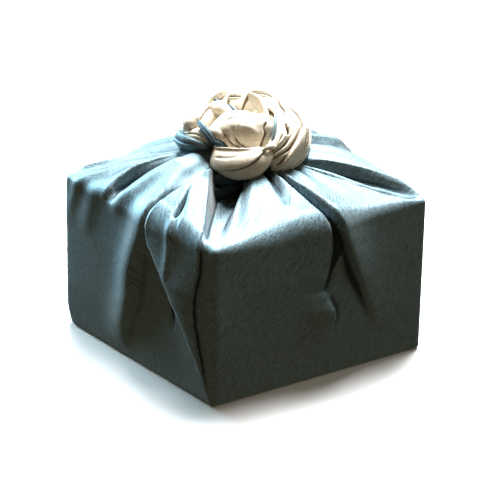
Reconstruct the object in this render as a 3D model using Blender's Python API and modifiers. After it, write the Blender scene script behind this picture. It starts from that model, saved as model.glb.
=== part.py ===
"""Furoshiki wrap: one square cloth drawn up round a square gift box and tied on top in a rosette.

Metres, +Z up. The origin is the middle of the underside, on the surface that the wrap stands on.
The near corner, which faces the viewer, is at -X -Y. The cloth is one solid: a thin sheet that
is lofted up the sides, over the top edges and in to the gathered neck, with the strands of the
rosette joined to it. A plain box stands inside and carries the cloth.
"""

import math
from typing import NamedTuple

import bmesh
import bpy
import numpy as np


class Fold(NamedTuple):
    """One fold: a ridge, or a trough where its height is negative."""

    name: str
    left: float  # width to its left, in mm on the cloth and in degrees on a strand
    right: float
    lean: float  # sideways, in mm
    rows: tuple  # metres along the meridian, metres round the box, height in mm
    crest: float = 2.0  # 2 is a round crest, 1 a sharp one


class Strand(NamedTuple):
    """A tied end of the cloth."""

    name: str
    rows: tuple  # across to the right, away, up, half width and half height, in mm
    folds: tuple = ()  # rows of progress from 0 to 1, degrees round the section, height in mm


# Driving dimensions
SIDE = 0.250  # of the square that the cloth is drawn round
STAND_OFF = 0.001  # of the cloth's face from that square
TOP = 0.156  # up to the cloth on the box's top edge
CLOTH = 0.0016  # thickness of the lined satin
FOOT_RADIUS = 0.003  # of the cloth under the bottom edges
CORNER_RADIUS = 0.004  # of the cloth round the upright edges
SLACK_CORNER_RADIUS = 0.016  # at the foot of the far left corner, where the cloth is drawn in
SLACK_CORNER_HEIGHT = 0.022
NECK_RADIUS = 0.037  # from the middle to where the threads of the cloth are gathered
RIM_SHARE = 0.85  # of the way in to the neck, where the cloth has gone into the rosette
RUN_IN = SIDE / 2 - NECK_RADIUS
PERIMETER = 4 * SIDE
MM = 0.001

# Rows: metres round the box from the near corner, radius in mm of the cloth over the top edge
EDGE_RADII = (
    (0.000, 6), (0.030, 10), (0.070, 13), (0.115, 11), (0.150, 8), (0.200, 7), (0.245, 4),
    (0.300, 8), (0.500, 6), (0.740, 4), (0.760, 4), (0.800, 8), (0.900, 10), (0.970, 8), (1.000, 6),
)

# Box inside
BOX_CLEARANCE = 0.0009  # between the box and the inside of the cloth
BOX_FOOT_GAP = 0.0003
BOX_EDGE_RADIUS = 0.010

# Columns and rows of the cloth before it is thinned
COLUMNS_PER_FACE = 76
SIDE_ROWS = 30
EDGE_ROWS = 8
ROOF_ROWS = 30
EDGE_ROWS_FROM = TOP - 0.014
EDGE_ROWS_TO = TOP + 0.008
CLOTH_TRIANGLES_KEPT = 0.072  # share that the flat stretches are thinned to

# Rows: metres round the box from the near corner, then how far the cloth stands above the
# box's top, in millimetres, at a share of the way in to the neck
ROOF_SHARES = (0.0, 0.12, 0.30, 0.60, 1.0)
ROOF_SECTIONS = (
    # around, lift in mm at 0.12, at 0.30, at 0.60, at the neck
    (0.000, 0, 0, 0, 4),
    (0.012, 0, 0, 1, 6),
    (0.026, 1, 4, 14, 24),
    (0.055, 4, 12, 23, 31),
    (0.100, 6, 15, 26, 33),
    (0.160, 6, 15, 26, 33),
    (0.215, 5, 13, 23, 31),
    (0.238, 4, 9, 17, 26),
    (0.250, 2, 6, 15, 30),
    (0.266, 12, 19, 28, 34),
    (0.330, 18, 27, 34, 37),
    (0.400, 18, 27, 34, 37),
    (0.470, 11, 18, 28, 36),
    (0.500, 3, 9, 19, 33),
    (0.530, 9, 17, 28, 37),
    (0.600, 11, 21, 32, 38),
    (0.680, 10, 20, 31, 38),
    (0.732, 6, 13, 24, 36),
    (0.750, 3, 8, 18, 33),
    (0.768, 5, 12, 23, 36),
    (0.830, 8, 18, 32, 43),
    (0.900, 8, 18, 32, 43),
    (0.955, 7, 16, 30, 42),
    (0.976, 6, 15, 28, 42),
    (0.988, 0, 1, 2, 6),
)

# The gap at the near corner lies between the hem of the left panel, which passes over it to the
# rosette, and the hem of the right panel. Rows: metres along the meridian, metres round the box
NECK_CORNER_RADIUS = 0.014
GAP_LEFT_AT_TABLE = -0.024
GAP_RIGHT_AT_TABLE = 0.012
GAP_REACH = 0.150  # how far round the box the threads are drawn aside by the gap
GAP_LEFT_HEM = ((0.000, -0.003), (0.150, -0.019), (0.175, -0.028), (0.201, -0.045), (0.240, -0.110))
GAP_RIGHT_HEM = ((0.000, 0.006), (0.150, 0.002), (0.195, 0.002), (0.218, 0.010), (0.240, 0.034))

# The meridian runs up the side, round the top edge and in to the neck. Metres round the box are
# minus to the left of the near corner
FOLDS = (
    Fold("left overlap", 3.0, 46, -6, (
        (0.004, -0.002, 0), (0.017, -0.005, 2.5), (0.042, -0.016, 4.5), (0.064, -0.026, 6.5),
        (0.083, -0.036, 9), (0.096, -0.045, 11), (0.108, -0.054, 12), (0.122, -0.069, 12),
        (0.135, -0.083, 11.5),
        (0.150, -0.090, 10.5), (0.165, -0.087, 10), (0.179, -0.081, 9), (0.195, -0.070, 6.5),
        (0.215, -0.066, 3), (0.240, -0.080, 0))),
    Fold("left panel swell", 20, 24, 0, (
        (0.020, -0.026, 0), (0.055, -0.030, 1.5), (0.085, -0.034, 2), (0.108, -0.040, 1.5),
        (0.130, -0.044, 1), (0.152, -0.048, 0))),
    Fold("left soft ridge", 24, 11, 0, (
        (0.004, -0.146, 0), (0.024, -0.146, 3), (0.045, -0.136, 6.5), (0.069, -0.126, 9.5),
        (0.095, -0.121, 11), (0.120, -0.115, 10.5), (0.138, -0.109, 10), (0.155, -0.104, 9.5),
        (0.172, -0.108, 8.5), (0.199, -0.112, 6.5), (0.213, -0.107, 4), (0.238, -0.100, 0))),
    Fold("left hollow", 6.5, 5.5, 0, (
        (0.050, -0.059, 0), (0.080, -0.066, -2), (0.103, -0.080, -4), (0.130, -0.096, -6),
        (0.150, -0.099, -9),
        (0.166, -0.097, -10), (0.183, -0.089, -11), (0.200, -0.077, -10), (0.215, -0.075, -7),
        (0.235, -0.085, 0))),
    Fold("left bright band", 10, 13, 0, (
        (0.136, -0.160, 0), (0.152, -0.157, 3), (0.162, -0.150, 6), (0.177, -0.145, 7.5),
        (0.199, -0.145, 7), (0.215, -0.140, 5), (0.236, -0.130, 0))),
    Fold("left deep trough", 8, 8, 0, (
        (0.148, -0.172, 0), (0.157, -0.174, -4), (0.167, -0.177, -9), (0.181, -0.181, -11),
        (0.198, -0.183, -11), (0.216, -0.184, -7), (0.238, -0.178, 0))),
    Fold("left trough rim", 9, 6, 0, (
        (0.148, -0.179, 0), (0.157, -0.182, 2.5), (0.170, -0.189, 4.5), (0.185, -0.197, 5),
        (0.205, -0.204, 3.5), (0.232, -0.205, 0))),
    Fold("far left band", 9, 10, 0, (
        (0.100, -0.244, 0), (0.120, -0.240, 1), (0.140, -0.232, 2), (0.154, -0.226, 3.5),
        (0.168, -0.222, 4.5), (0.184, -0.226, 4), (0.207, -0.234, 2.5), (0.232, -0.236, 0))),
    Fold("far left patch", 14, 12, 0, (
        (0.098, -0.214, 0), (0.126, -0.206, 2), (0.150, -0.200, 2.5), (0.168, -0.199, 0))),
    Fold("strip edge", 2.2, 13, -2.5, (
        (0.150, -0.049, 0), (0.163, -0.052, 4), (0.178, -0.057, 5.5), (0.191, -0.062, 5),
        (0.205, -0.069, 3), (0.228, -0.088, 0)), 1.6),
    Fold("strip pucker", 5, 3.5, 0, (
        (0.104, -0.050, 0), (0.122, -0.052, 1.6), (0.138, -0.055, 2.6), (0.150, -0.059, 2.5),
        (0.160, -0.063, 0))),
    Fold("corner panel edge", 30, 1, 2, (
        (0.002, -0.003, 0), (0.012, -0.005, 2), (0.036, -0.008, 2.5), (0.074, -0.014, 3),
        (0.102, -0.017, 3), (0.153, -0.022, 2.5), (0.170, -0.026, 1.5), (0.200, -0.040, 0))),
    Fold("front ridge", 5, 24, -3, (
        (0.030, 0.194, 0), (0.050, 0.187, 2.5), (0.069, 0.179, 4.5), (0.086, 0.171, 6.5),
        (0.103, 0.162, 9), (0.126, 0.153, 11), (0.142, 0.146, 12), (0.155, 0.140, 12.5),
        (0.168, 0.135, 11), (0.180, 0.132, 9), (0.205, 0.128, 5), (0.238, 0.124, 0)), 1.5),
    Fold("front left swell", 30, 7, 0, (
        (0.092, 0.118, 0), (0.110, 0.120, 2.5), (0.135, 0.122, 4.5), (0.152, 0.116, 6),
        (0.170, 0.108, 6), (0.200, 0.102, 4), (0.238, 0.104, 0))),
    Fold("front trough", 8, 5, 0, (
        (0.082, 0.127, 0), (0.103, 0.132, -3), (0.119, 0.137, -4.5), (0.134, 0.139, -5.5),
        (0.147, 0.136, -7), (0.157, 0.133, -9), (0.172, 0.129, -10), (0.188, 0.124, -9),
        (0.205, 0.119, -6), (0.228, 0.116, 0))),
    Fold("front dimple", 15, 4, 0, (
        (0.048, 0.130, 0), (0.062, 0.130, 2.5), (0.073, 0.127, 5), (0.083, 0.124, 4),
        (0.096, 0.122, 0.5), (0.106, 0.120, 0))),
    Fold("front neck valley", 5, 8, 0, (
        (0.160, 0.095, 0), (0.182, 0.093, -3.5), (0.205, 0.094, -6), (0.222, 0.097, -7),
        (0.243, 0.101, -4))),
    Fold("right corner rib", 4, 5, 0, (
        (0.150, 0.258, 0), (0.165, 0.260, 3), (0.190, 0.262, 4.5), (0.215, 0.262, 4),
        (0.238, 0.260, 0))),
    Fold("right face ridge", 6, 26, -2, (
        (0.020, 0.318, 0), (0.045, 0.330, 4), (0.080, 0.345, 8), (0.115, 0.358, 10.5),
        (0.158, 0.368, 10), (0.195, 0.372, 6), (0.238, 0.375, 0))),
    Fold("right face second", 24, 6, 2, (
        (0.045, 0.458, 0), (0.070, 0.452, 4), (0.100, 0.442, 7), (0.130, 0.432, 9),
        (0.158, 0.424, 8), (0.200, 0.408, 5), (0.238, 0.398, 0))),
    Fold("right face trough", 8, 8, 0, (
        (0.080, 0.398, 0), (0.110, 0.396, -3), (0.158, 0.394, -7), (0.205, 0.388, -5),
        (0.238, 0.385, 0))),
    Fold("back ridge", 5, 28, -2.5, (
        (0.010, 0.550, 0), (0.040, 0.570, 4.5), (0.080, 0.590, 8.5), (0.120, 0.606, 11),
        (0.158, 0.617, 10), (0.198, 0.620, 6), (0.238, 0.622, 0))),
    Fold("back second", 20, 8, 0, (
        (0.060, 0.705, 0), (0.090, 0.694, 5), (0.125, 0.682, 8), (0.158, 0.672, 8),
        (0.200, 0.655, 5), (0.238, 0.645, 0))),
    Fold("back trough", 9, 6, 0, (
        (0.090, 0.652, 0), (0.120, 0.648, -3), (0.158, 0.645, -6.5), (0.205, 0.638, -5),
        (0.238, 0.635, 0))),
    Fold("right corner tuck", 28, 2.5, 2, (
        (0.004, 0.499, 0), (0.030, 0.494, 3.5), (0.070, 0.487, 5.5), (0.120, 0.480, 7),
        (0.158, 0.474, 5), (0.205, 0.468, 0))),
    Fold("left corner tuck", 24, 3, 2, (
        (0.006, 0.748, 0), (0.040, 0.742, 2), (0.100, 0.735, 3.5), (0.158, 0.730, 4.5),
        (0.205, 0.726, 0))),
)
NECK_CROWDING = 0.55  # how much narrower a fold gets by the neck
FACE_PUFF = 3.2 * MM  # how far the slack cloth stands off the middle of each side
NECK_PLEATS = 22  # small pleats where the cloth is gathered
NECK_PLEAT_HEIGHT = 1.6 * MM
NECK_PLEAT_UNEVENNESS = 0.45
CALM_BESIDE_GAP = 0.9  # share of the pleats' height lost there
CALM_MIDDLE = 0.02
CALM_REACH = 0.07

# The rosette is laid out as seen from the near corner: across to the right, away, and up
VIEW_COS, VIEW_SIN = 0.8, 0.6

STRANDS = (
    Strand("right_lobe", (
        (22, -42, 194, 8, 12), (33, -33, 199, 16, 18), (42, -16, 205, 20, 22),
        (44, 4, 210, 19, 22), (40, 24, 215, 18, 20), (26, 39, 217, 16, 17), (8, 45, 218, 8, 11)),
        folds=(
            Fold("lower facet edge", 20, 2, 0, (
                (0.02, -12, 0), (0.07, -4, 3), (0.17, 25, 4), (0.27, 39, 3.5), (0.36, 49, 2.5),
                (0.42, 56, 0))),
            Fold("outer rim", 13, 2, 0, (
                (0.26, 12, 0), (0.31, 24, 2.5), (0.36, 44, 3.5), (0.47, 70, 3.5), (0.59, 90, 3),
                (0.70, 104, 0))),
            Fold("hole", 7, 5, 0, (
                (0.22, 74, 0), (0.26, 75, -5), (0.29, 81, -9), (0.31, 88, -8), (0.34, 97, -3),
                (0.38, 101, 0))),
            Fold("outer crease 1", 3, 12, 0, (
                (0.28, 0, 0), (0.45, 14, -3), (0.70, 34, -3), (0.92, 44, 0))),
            Fold("outer crease 2", 3, 14, 0, (
                (0.10, -50, 0), (0.35, -30, -3), (0.62, -16, -3.5), (0.90, 4, 0))),
            Fold("outer crease 3", 12, 3, 0, (
                (0.50, 60, 0), (0.65, 66, -2.5), (0.80, 62, -3), (0.95, 60, 0))),
            Fold("inner crease", 3, 14, 0, (
                (0.15, 140, 0), (0.40, 160, -3), (0.75, 150, -3), (0.95, 140, 0))))),
    Strand("back_lobe", (
        (34, 29, 213, 7, 9), (20, 40, 217, 16, 17), (0, 45, 219, 19, 20),
        (-20, 39, 217, 18, 19), (-36, 26, 211, 9, 11)),
        folds=(
            Fold("twist 1", 22, 2.5, 0, (
                (0.08, 10, 0), (0.25, 60, 4), (0.45, 110, 4), (0.62, 160, 3), (0.75, 190, 0))),
            Fold("twist 2", 26, 2.5, 0, (
                (0.30, 20, 0), (0.45, 50, 4), (0.65, 95, 4.5), (0.82, 140, 3), (0.92, 170, 0))),
            Fold("twist 3", 24, 3, 0, ((0.02, 100, 0), (0.12, 130, 4), (0.30, 170, 4), (0.45, 210, 0))),
            Fold("twist 4", 20, 3, 0, ((0.10, -60, 0), (0.30, -20, 3.5), (0.55, 15, 4), (0.80, 50, 0))),
            Fold("fine crease 2", 3, 8, 0, ((0.50, 40, 0), (0.68, 75, -2.5), (0.85, 120, 0))))),
    Strand("back_fold", (
        (-8, 46, 232, 4, 5), (2, 42, 231, 8, 8), (12, 34, 227, 8, 9), (18, 22, 220, 5, 6),
        (19, 12, 214, 3, 4)),
        folds=(
            Fold("hem", 18, 2, 0, ((0.0, 40, 0), (0.2, 60, 2.5), (0.6, 80, 3), (1.0, 90, 0))),
            Fold("crease", 3, 8, 0, ((0.1, 110, 0), (0.4, 120, -1.8), (0.8, 110, 0))))),
    Strand("back_loop", (
        (-40, 20, 222, 3, 3), (-32, 24, 225, 7, 6), (-23, 21, 227, 7, 6), (-15, 12, 225, 4, 4)),
        folds=(Fold("hem", 16, 2, 0, ((0.0, 60, 0), (0.3, 80, 2), (0.7, 100, 2), (1.0, 110, 0))),)),
    Strand("back_left_fold", (
        (-36, 32, 228, 3, 4), (-31, 34, 230, 5, 6.5), (-22, 37, 231.5, 8, 9),
        (-12, 40, 232.5, 9.5, 9.5), (-3, 41, 231, 9, 9), (4, 40, 227, 5, 5)),
        folds=(
            Fold("hem", 18, 2, 0, ((0.0, 60, 0), (0.3, 80, 2), (0.7, 90, 2), (1.0, 100, 0))),
            Fold("crease", 3, 8, 0, ((0.2, 20, 0), (0.5, 30, -1.8), (0.8, 20, 0))))),
    Strand("left_puff", (
        (-22, 38, 214, 8, 9), (-36, 28, 214.5, 13, 14), (-46, 12, 216, 13, 14.5),
        (-50, -2, 219, 11.5, 12.5), (-52, -10, 218.5, 8.5, 9), (-53, -15, 217.5, 3, 3.5)),
        folds=(
            Fold("fold 1", 3, 14, 0, ((0.10, 10, 0), (0.30, 30, -3), (0.60, 60, -3), (0.90, 70, 0))),
            Fold("fold 2", 18, 3, 0, ((0.05, 100, 0), (0.30, 110, 3), (0.60, 130, 3), (0.90, 140, 0))),
            Fold("fold 3", 3, 16, 0, (
                (0.05, -50, 0), (0.30, -30, -3), (0.60, -20, -2.5), (0.85, 0, 0))))),
    Strand("left_band", (
        (-58, 4, 204.5, 4, 4), (-51, -10, 208.5, 8, 8), (-41.5, -20, 211.5, 9, 8.5),
        (-32.5, -28, 211, 7, 6.5), (-28, -32, 208.2, 3, 3)),
        folds=(Fold("crease", 3, 9, 0, ((0.1, 20, 0), (0.35, 30, -1.6), (0.8, 20, 0))),)),
    Strand("left_lens", (
        (-37, -22, 220.5, 2.5, 2.5), (-29, -29, 218, 5, 6), (-21.7, -30, 213.5, 5, 6),
        (-14.5, -30, 207, 3, 3.5))),
    Strand("outer_flap", (
        (-55, 22, 198, 5, 5), (-60, 8, 202, 8, 8), (-58, -8, 204, 9, 8),
        (-50, -20, 205, 9, 6.5), (-34, -32, 207, 6, 4)),
        folds=(
            Fold("hem", 24, 5, 0, ((0.2, 60, 0), (0.45, 62, 2.5), (0.8, 60, 2), (1.0, 50, 0))),
            Fold("crease", 5, 12, 0, ((0.3, 10, 0), (0.6, 14, -1.6), (0.95, 10, 0))))),
    Strand("front_lip", (
        (-29.5, -36, 198, 4, 10.5), (-21, -43, 196, 10, 12.5), (-7, -49, 195, 13, 14.5),
        (6, -50, 196, 13, 14), (18, -44, 201, 10, 9.5), (24, -37, 206.5, 5, 4.5)),
        folds=(
            Fold("upper layer", 1.6, 46, 0, (
                (0.00, -30, 1.5), (0.12, -26, 2), (0.22, -20, 2.5), (0.34, -6, 3), (0.45, 3, 3),
                (0.55, 15, 2.8), (0.65, 34, 2.2), (0.77, 56, 1.2), (0.93, 74, 0))),
            Fold("top hem", 5, 2, 0, (
                (0.00, 66, 2), (0.24, 76, 3), (0.45, 78, 3), (0.63, 83, 2.5), (0.77, 94, 2),
                (0.95, 101, 0.5))),
            Fold("lower hem", 4, 22, 0, (
                (0.10, -66, 0), (0.25, -60, 1), (0.5, -50, 1.4), (0.75, -20, 1), (0.9, 20, 0))))),
    Strand("bud", (
        (2, -16, 184, 15, 14), (1, -14, 199, 28, 25), (-2, -11, 212, 33, 29),
        (-4, -8, 223, 30, 27), (-5, -6, 230, 20, 18), (-5, -5, 234, 6, 6)),
        folds=(
            Fold("facet ridge", 9, 9, 0, (
                (0.20, 78, 0), (0.28, 68, 1.2), (0.41, 66, 1.6), (0.50, 73, 1.4), (0.63, 86, 0))),
            Fold("crease 4", 6, 2.5, 0, (
                (0.18, 62, 0), (0.25, 56, -2.5), (0.34, 47, -2.8), (0.49, 45, -2.4), (0.62, 29, 0))),
            Fold("top crease 1", 3, 10, 0, (
                (0.62, 128, 0), (0.74, 112, -2), (0.85, 80, -1.5), (0.93, 60, 0))),
            Fold("back crease 1", 3, 16, 0, (
                (0.15, 170, 0), (0.35, 190, -3), (0.60, 215, -3), (0.85, 240, 0))),
            Fold("back crease 2", 3, 16, 0, (
                (0.15, 260, 0), (0.35, 280, -3), (0.60, 305, -3), (0.85, 330, 0))),
            Fold("back crease 3", 3, 14, 0, (
                (0.20, -15, 0), (0.40, 0, -2.5), (0.62, 12, -2), (0.80, 30, 0))))),
    Strand("gap_inner_1", (
        (-33, -50, 184, 2, 3), (-22, -50, 178, 4, 6), (-9, -45, 177, 4, 6), (2, -38, 181, 3, 3)),
        folds=(Fold("hem", 20, 5, 0, ((0.0, 60, 0), (0.3, 70, 2), (0.8, 80, 2), (1.0, 90, 0))),)),
    Strand("gap_inner_2", (
        (-34, -60, 172, 2, 3), (-23, -56, 167, 4, 6), (-13, -50, 168, 4, 6), (-4, -42, 175, 3, 3)),
        folds=(Fold("hem", 20, 5, 0, ((0.0, 50, 0), (0.3, 66, 2), (0.8, 80, 2), (1.0, 90, 0))),)),
    Strand("lower_tie", (
        (-64, 6, 197, 14, 6), (-44, 8, 196, 42, 12), (-10, 8, 194, 58, 14),
        (30, 8, 190, 50, 13), (62, 4, 187, 14, 6)),
        folds=(Fold("hem", 40, 12, 0, ((0.1, 95, 0), (0.3, 100, 3), (0.7, 110, 3), (0.9, 116, 0))),)),
)
STRAND_STEPS = 6  # rings to each stretch between two rows
STRAND_SIDES = 48
ROSETTE_GRAIN = 0.0018  # finest form kept where the strands grow together
ROSETTE_TRIANGLES_KEPT = 0.075


def curve_through(x, stations, values):
    """A smooth curve through the stations: a cubic piece between each two, mean slopes at them."""
    stations, values = np.asarray(stations, float), np.asarray(values, float)
    slopes = np.gradient(values, stations)
    i = np.clip(np.searchsorted(stations, x, side="right") - 1, 0, len(stations) - 2)
    run = stations[i + 1] - stations[i]
    t = np.clip((x - stations[i]) / run, 0, 1)
    start = (1 + 2 * t) * (1 - t) ** 2 * values[i] + t * (1 - t) ** 2 * run * slopes[i]
    end = t * t * (3 - 2 * t) * values[i + 1] + t * t * (t - 1) * run * slopes[i + 1]
    return start + end


def eased(x, stations, values):
    """Values between the stations, level at each station, so that none is overshot."""
    stations, values = np.asarray(stations, float), np.asarray(values, float)
    i = np.clip(np.searchsorted(stations, x, side="right") - 1, 0, len(stations) - 2)
    t = np.clip((x - stations[i]) / (stations[i + 1] - stations[i]), 0, 1)
    return values[i] + (values[i + 1] - values[i]) * t * t * (3 - 2 * t)


def edge_radius(around):
    """Radius in metres of the cloth over the top edge, at metres round the box."""
    stations, radii = np.array(EDGE_RADII, float).T
    return eased(np.mod(around, PERIMETER), stations, radii) * MM


def corner_radius(around, up):
    """Radius of the upright edge nearest to a point; larger at the foot of the far left one."""
    near_far_left = np.abs(np.mod(around, PERIMETER) - 3 * SIDE) < SIDE / 2
    drawn_in = np.clip(1 - up / SLACK_CORNER_HEIGHT, 0, 1) ** 1.5
    extra = (SLACK_CORNER_RADIUS - CORNER_RADIUS) * drawn_in
    return CORNER_RADIUS + np.where(near_far_left, extra, 0)


def square_outline(around, half, radius):
    """A point on a square with rounded corners, and its outward direction in plan."""
    turn = np.mod(around, PERIMETER) / SIDE
    face = np.floor(turn).astype(int) % 4
    along = (turn - np.floor(turn) - 0.5) * 2 * half
    x = np.choose(face, (along, half + 0 * along, -along, -half + 0 * along))
    y = np.choose(face, (-half + 0 * along, along, half + 0 * along, -along))
    flat = half - radius
    in_x, in_y = np.clip(x, -flat, flat), np.clip(y, -flat, flat)
    off = np.maximum(np.hypot(x - in_x, y - in_y), 1e-9)
    out_x, out_y = (x - in_x) / off, (y - in_y) / off
    at_corner = (np.abs(x) > flat) & (np.abs(y) > flat)
    x = np.where(at_corner, in_x + radius * out_x, x)
    y = np.where(at_corner, in_y + radius * out_y, y)
    return x, y, out_x, out_y


def roof_lift(around, share):
    """How far the cloth stands above the box's top at a share of the way in to the neck."""
    table = np.array(ROOF_SECTIONS, float)
    table = np.vstack([table, table[:1] + [[PERIMETER, 0, 0, 0, 0]]])
    around = np.mod(around, PERIMETER)
    columns = [np.zeros_like(around)]
    columns += [eased(around, table[:, 0], table[:, k]) for k in range(1, 5)]
    heights = np.stack(columns, -1) * MM
    shares = np.array(ROOF_SHARES)
    slopes = np.gradient(heights, shares, axis=-1)
    i = np.clip(np.searchsorted(shares, share, side="right") - 1, 0, len(shares) - 2)
    run = shares[i + 1] - shares[i]
    t = np.clip((share - shares[i]) / run, 0, 1)
    rows = np.arange(len(around))
    low, high = heights[rows, i], heights[rows, i + 1]
    rise = t * (1 - t) ** 2 * run * slopes[rows, i] + t * t * (t - 1) * run * slopes[rows, i + 1]
    return np.maximum(low + (high - low) * t * t * (3 - 2 * t) + rise, 0)


def beside_the_gap(around, along):
    """Metres round the box with the gap's two hems moved to where the roof's table has them."""
    signed = np.mod(around + PERIMETER / 2, PERIMETER) - PERIMETER / 2
    left = curve_through(along, *np.array(GAP_LEFT_HEM).T)
    right = curve_through(along, *np.array(GAP_RIGHT_HEM).T)
    at_left = GAP_LEFT_AT_TABLE + GAP_REACH
    at_right = GAP_REACH - GAP_RIGHT_AT_TABLE
    beyond_left = (signed + GAP_REACH) * at_left / (left + GAP_REACH) - GAP_REACH
    beyond_right = GAP_REACH - (GAP_REACH - signed) * at_right / (GAP_REACH - right)
    inside = (signed - left) / (right - left)
    inside = GAP_LEFT_AT_TABLE + inside * (GAP_RIGHT_AT_TABLE - GAP_LEFT_AT_TABLE)
    moved = np.where(signed < left, beyond_left, np.where(signed > right, beyond_right, inside))
    return np.where(np.abs(signed) < GAP_REACH, moved, signed)


def fold_fields(around, along, share):
    """Sum of the folds at each point: how far out the cloth stands, and how far it leans."""
    height, lean = np.zeros_like(around), np.zeros_like(around)
    narrowing = 1 - share * (1 - NECK_RADIUS * 2 * math.pi / PERIMETER)
    for fold in FOLDS:
        stations, centres, heights = np.array(fold.rows, float).T
        centre = curve_through(along, stations, centres)
        size = eased(along, stations, heights)
        size = np.where((along < stations[0]) | (along > stations[-1]), 0, size)
        off = np.mod(around - centre + PERIMETER / 2, PERIMETER) - PERIMETER / 2
        width = np.where(off < 0, fold.left, fold.right) * MM * (1 - NECK_CROWDING * share)
        bell = np.exp(-np.abs(off * narrowing / width) ** fold.crest)
        height += size * MM * bell
        lean += fold.lean * MM * bell * size / max(abs(heights).max(), 1e-9)
    return height, lean


def neck_pleats(around, share):
    """Small uneven pleats that grow towards the neck, fewer beside the gap."""
    phase = 2 * math.pi * NECK_PLEATS * around / PERIMETER
    phase = phase + NECK_PLEAT_UNEVENNESS * np.sin(phase * 5 / NECK_PLEATS + 1.0) * 3
    grow = np.clip((share - 0.15) / 0.5, 0, 1) ** 1.5
    signed = np.mod(around + PERIMETER / 2, PERIMETER) - PERIMETER / 2
    calm = 1 - CALM_BESIDE_GAP * np.exp(-(((signed - CALM_MIDDLE) / CALM_REACH) ** 4))
    return NECK_PLEAT_HEIGHT * calm * grow * np.sin(phase)


def cloth_surface(around, along):
    """The outside of the cloth, at metres round the box and metres along the meridian."""
    panel = beside_the_gap(around, along)
    radius = edge_radius(around)
    side_end = TOP - radius
    roof_start = side_end + radius * math.pi / 2
    turn = np.clip((along - side_end) / radius, 0, math.pi / 2)
    inward = radius * (1 - np.cos(turn)) + np.maximum(along - roof_start, 0)
    up = np.minimum(along, side_end) + radius * np.sin(turn)
    share = inward / RUN_IN
    x, y, out_x, out_y = square_outline(around, SIDE / 2 + STAND_OFF, corner_radius(around, up))
    neck_x, neck_y, _, _ = square_outline(around, NECK_RADIUS, NECK_CORNER_RADIUS)
    x = x + (neck_x - x) * share
    y = y + (neck_y - y) * share
    lift = roof_lift(panel, share)
    height, lean = fold_fields(around, along, share)
    middle = np.sin(math.pi * np.mod(around, SIDE) / SIDE) ** 0.7
    foot = np.clip(along / 0.05, 0, 1) ** 1.5
    brow = np.clip((side_end - along) / 0.04, 0, 1)
    height += FACE_PUFF * middle * foot * brow
    height = np.maximum(height + neck_pleats(around, share), -0.85 * lift)
    sideways, upward = np.cos(turn), np.sin(turn)
    x = x + height * sideways * out_x - lean * out_y
    y = y + height * sideways * out_y + lean * out_x
    return np.stack([x, y, up + lift + height * upward], -1)


def column_places():
    """Metres round the box of the cloth's columns."""
    return np.linspace(0, PERIMETER, 4 * COLUMNS_PER_FACE, endpoint=False)


def row_places():
    """Metres along the meridian of the cloth's rows, from above the foot to the neck."""
    side = np.linspace(0.012, EDGE_ROWS_FROM, SIDE_ROWS, endpoint=False)
    edge = np.linspace(EDGE_ROWS_FROM, EDGE_ROWS_TO, EDGE_ROWS, endpoint=False)
    roof = np.linspace(EDGE_ROWS_TO, TOP + RIM_SHARE * RUN_IN, ROOF_ROWS)
    return np.concatenate([[FOOT_RADIUS], side, edge, roof])


def lofted(name, rings, close_start=True, close_end=True):
    """A mesh object that joins rings of points, with a flat cap at each end asked for."""
    bm = bmesh.new()
    loops = [[bm.verts.new(point) for point in ring] for ring in rings]
    count = len(loops[0])
    for lower, upper in zip(loops, loops[1:]):
        for i in range(count):
            j = (i + 1) % count
            bm.faces.new((lower[i], lower[j], upper[j], upper[i]))
    if close_start:
        bm.faces.new(loops[0][::-1])
    if close_end:
        bm.faces.new(loops[-1])
    mesh = bpy.data.meshes.new(name)
    bm.to_mesh(mesh)
    bm.free()
    return bpy.data.objects.new(name, mesh)


def cloth_rings():
    """Rings of the cloth: two round the foot, then one for each row up to the neck."""
    around = column_places()
    rings = []
    for inset, up in ((FOOT_RADIUS, 0.0), (FOOT_RADIUS * 0.29, FOOT_RADIUS * 0.29)):
        radius = corner_radius(around, 0 * around) - inset
        x, y, _, _ = square_outline(around, SIDE / 2 + STAND_OFF - inset, radius)
        rings.append(np.stack([x, y, np.full_like(x, up)], -1))
    for along in row_places():
        rings.append(cloth_surface(around, np.full_like(around, along)))
    return rings


def relief(degrees, progress, folds):
    """How far out a strand's surface stands, in mm, at degrees round its section."""
    height = np.zeros_like(degrees)
    for fold in folds:
        stations, centres, heights = np.array(fold.rows, float).T
        size = eased(progress, stations, heights) * (stations[0] <= progress <= stations[-1])
        off = np.mod(degrees - curve_through(progress, stations, centres) + 180, 360) - 180
        width = np.where(off < 0, fold.left, fold.right)
        height += size * np.exp(-np.abs(off / width) ** fold.crest)
    return height


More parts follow.
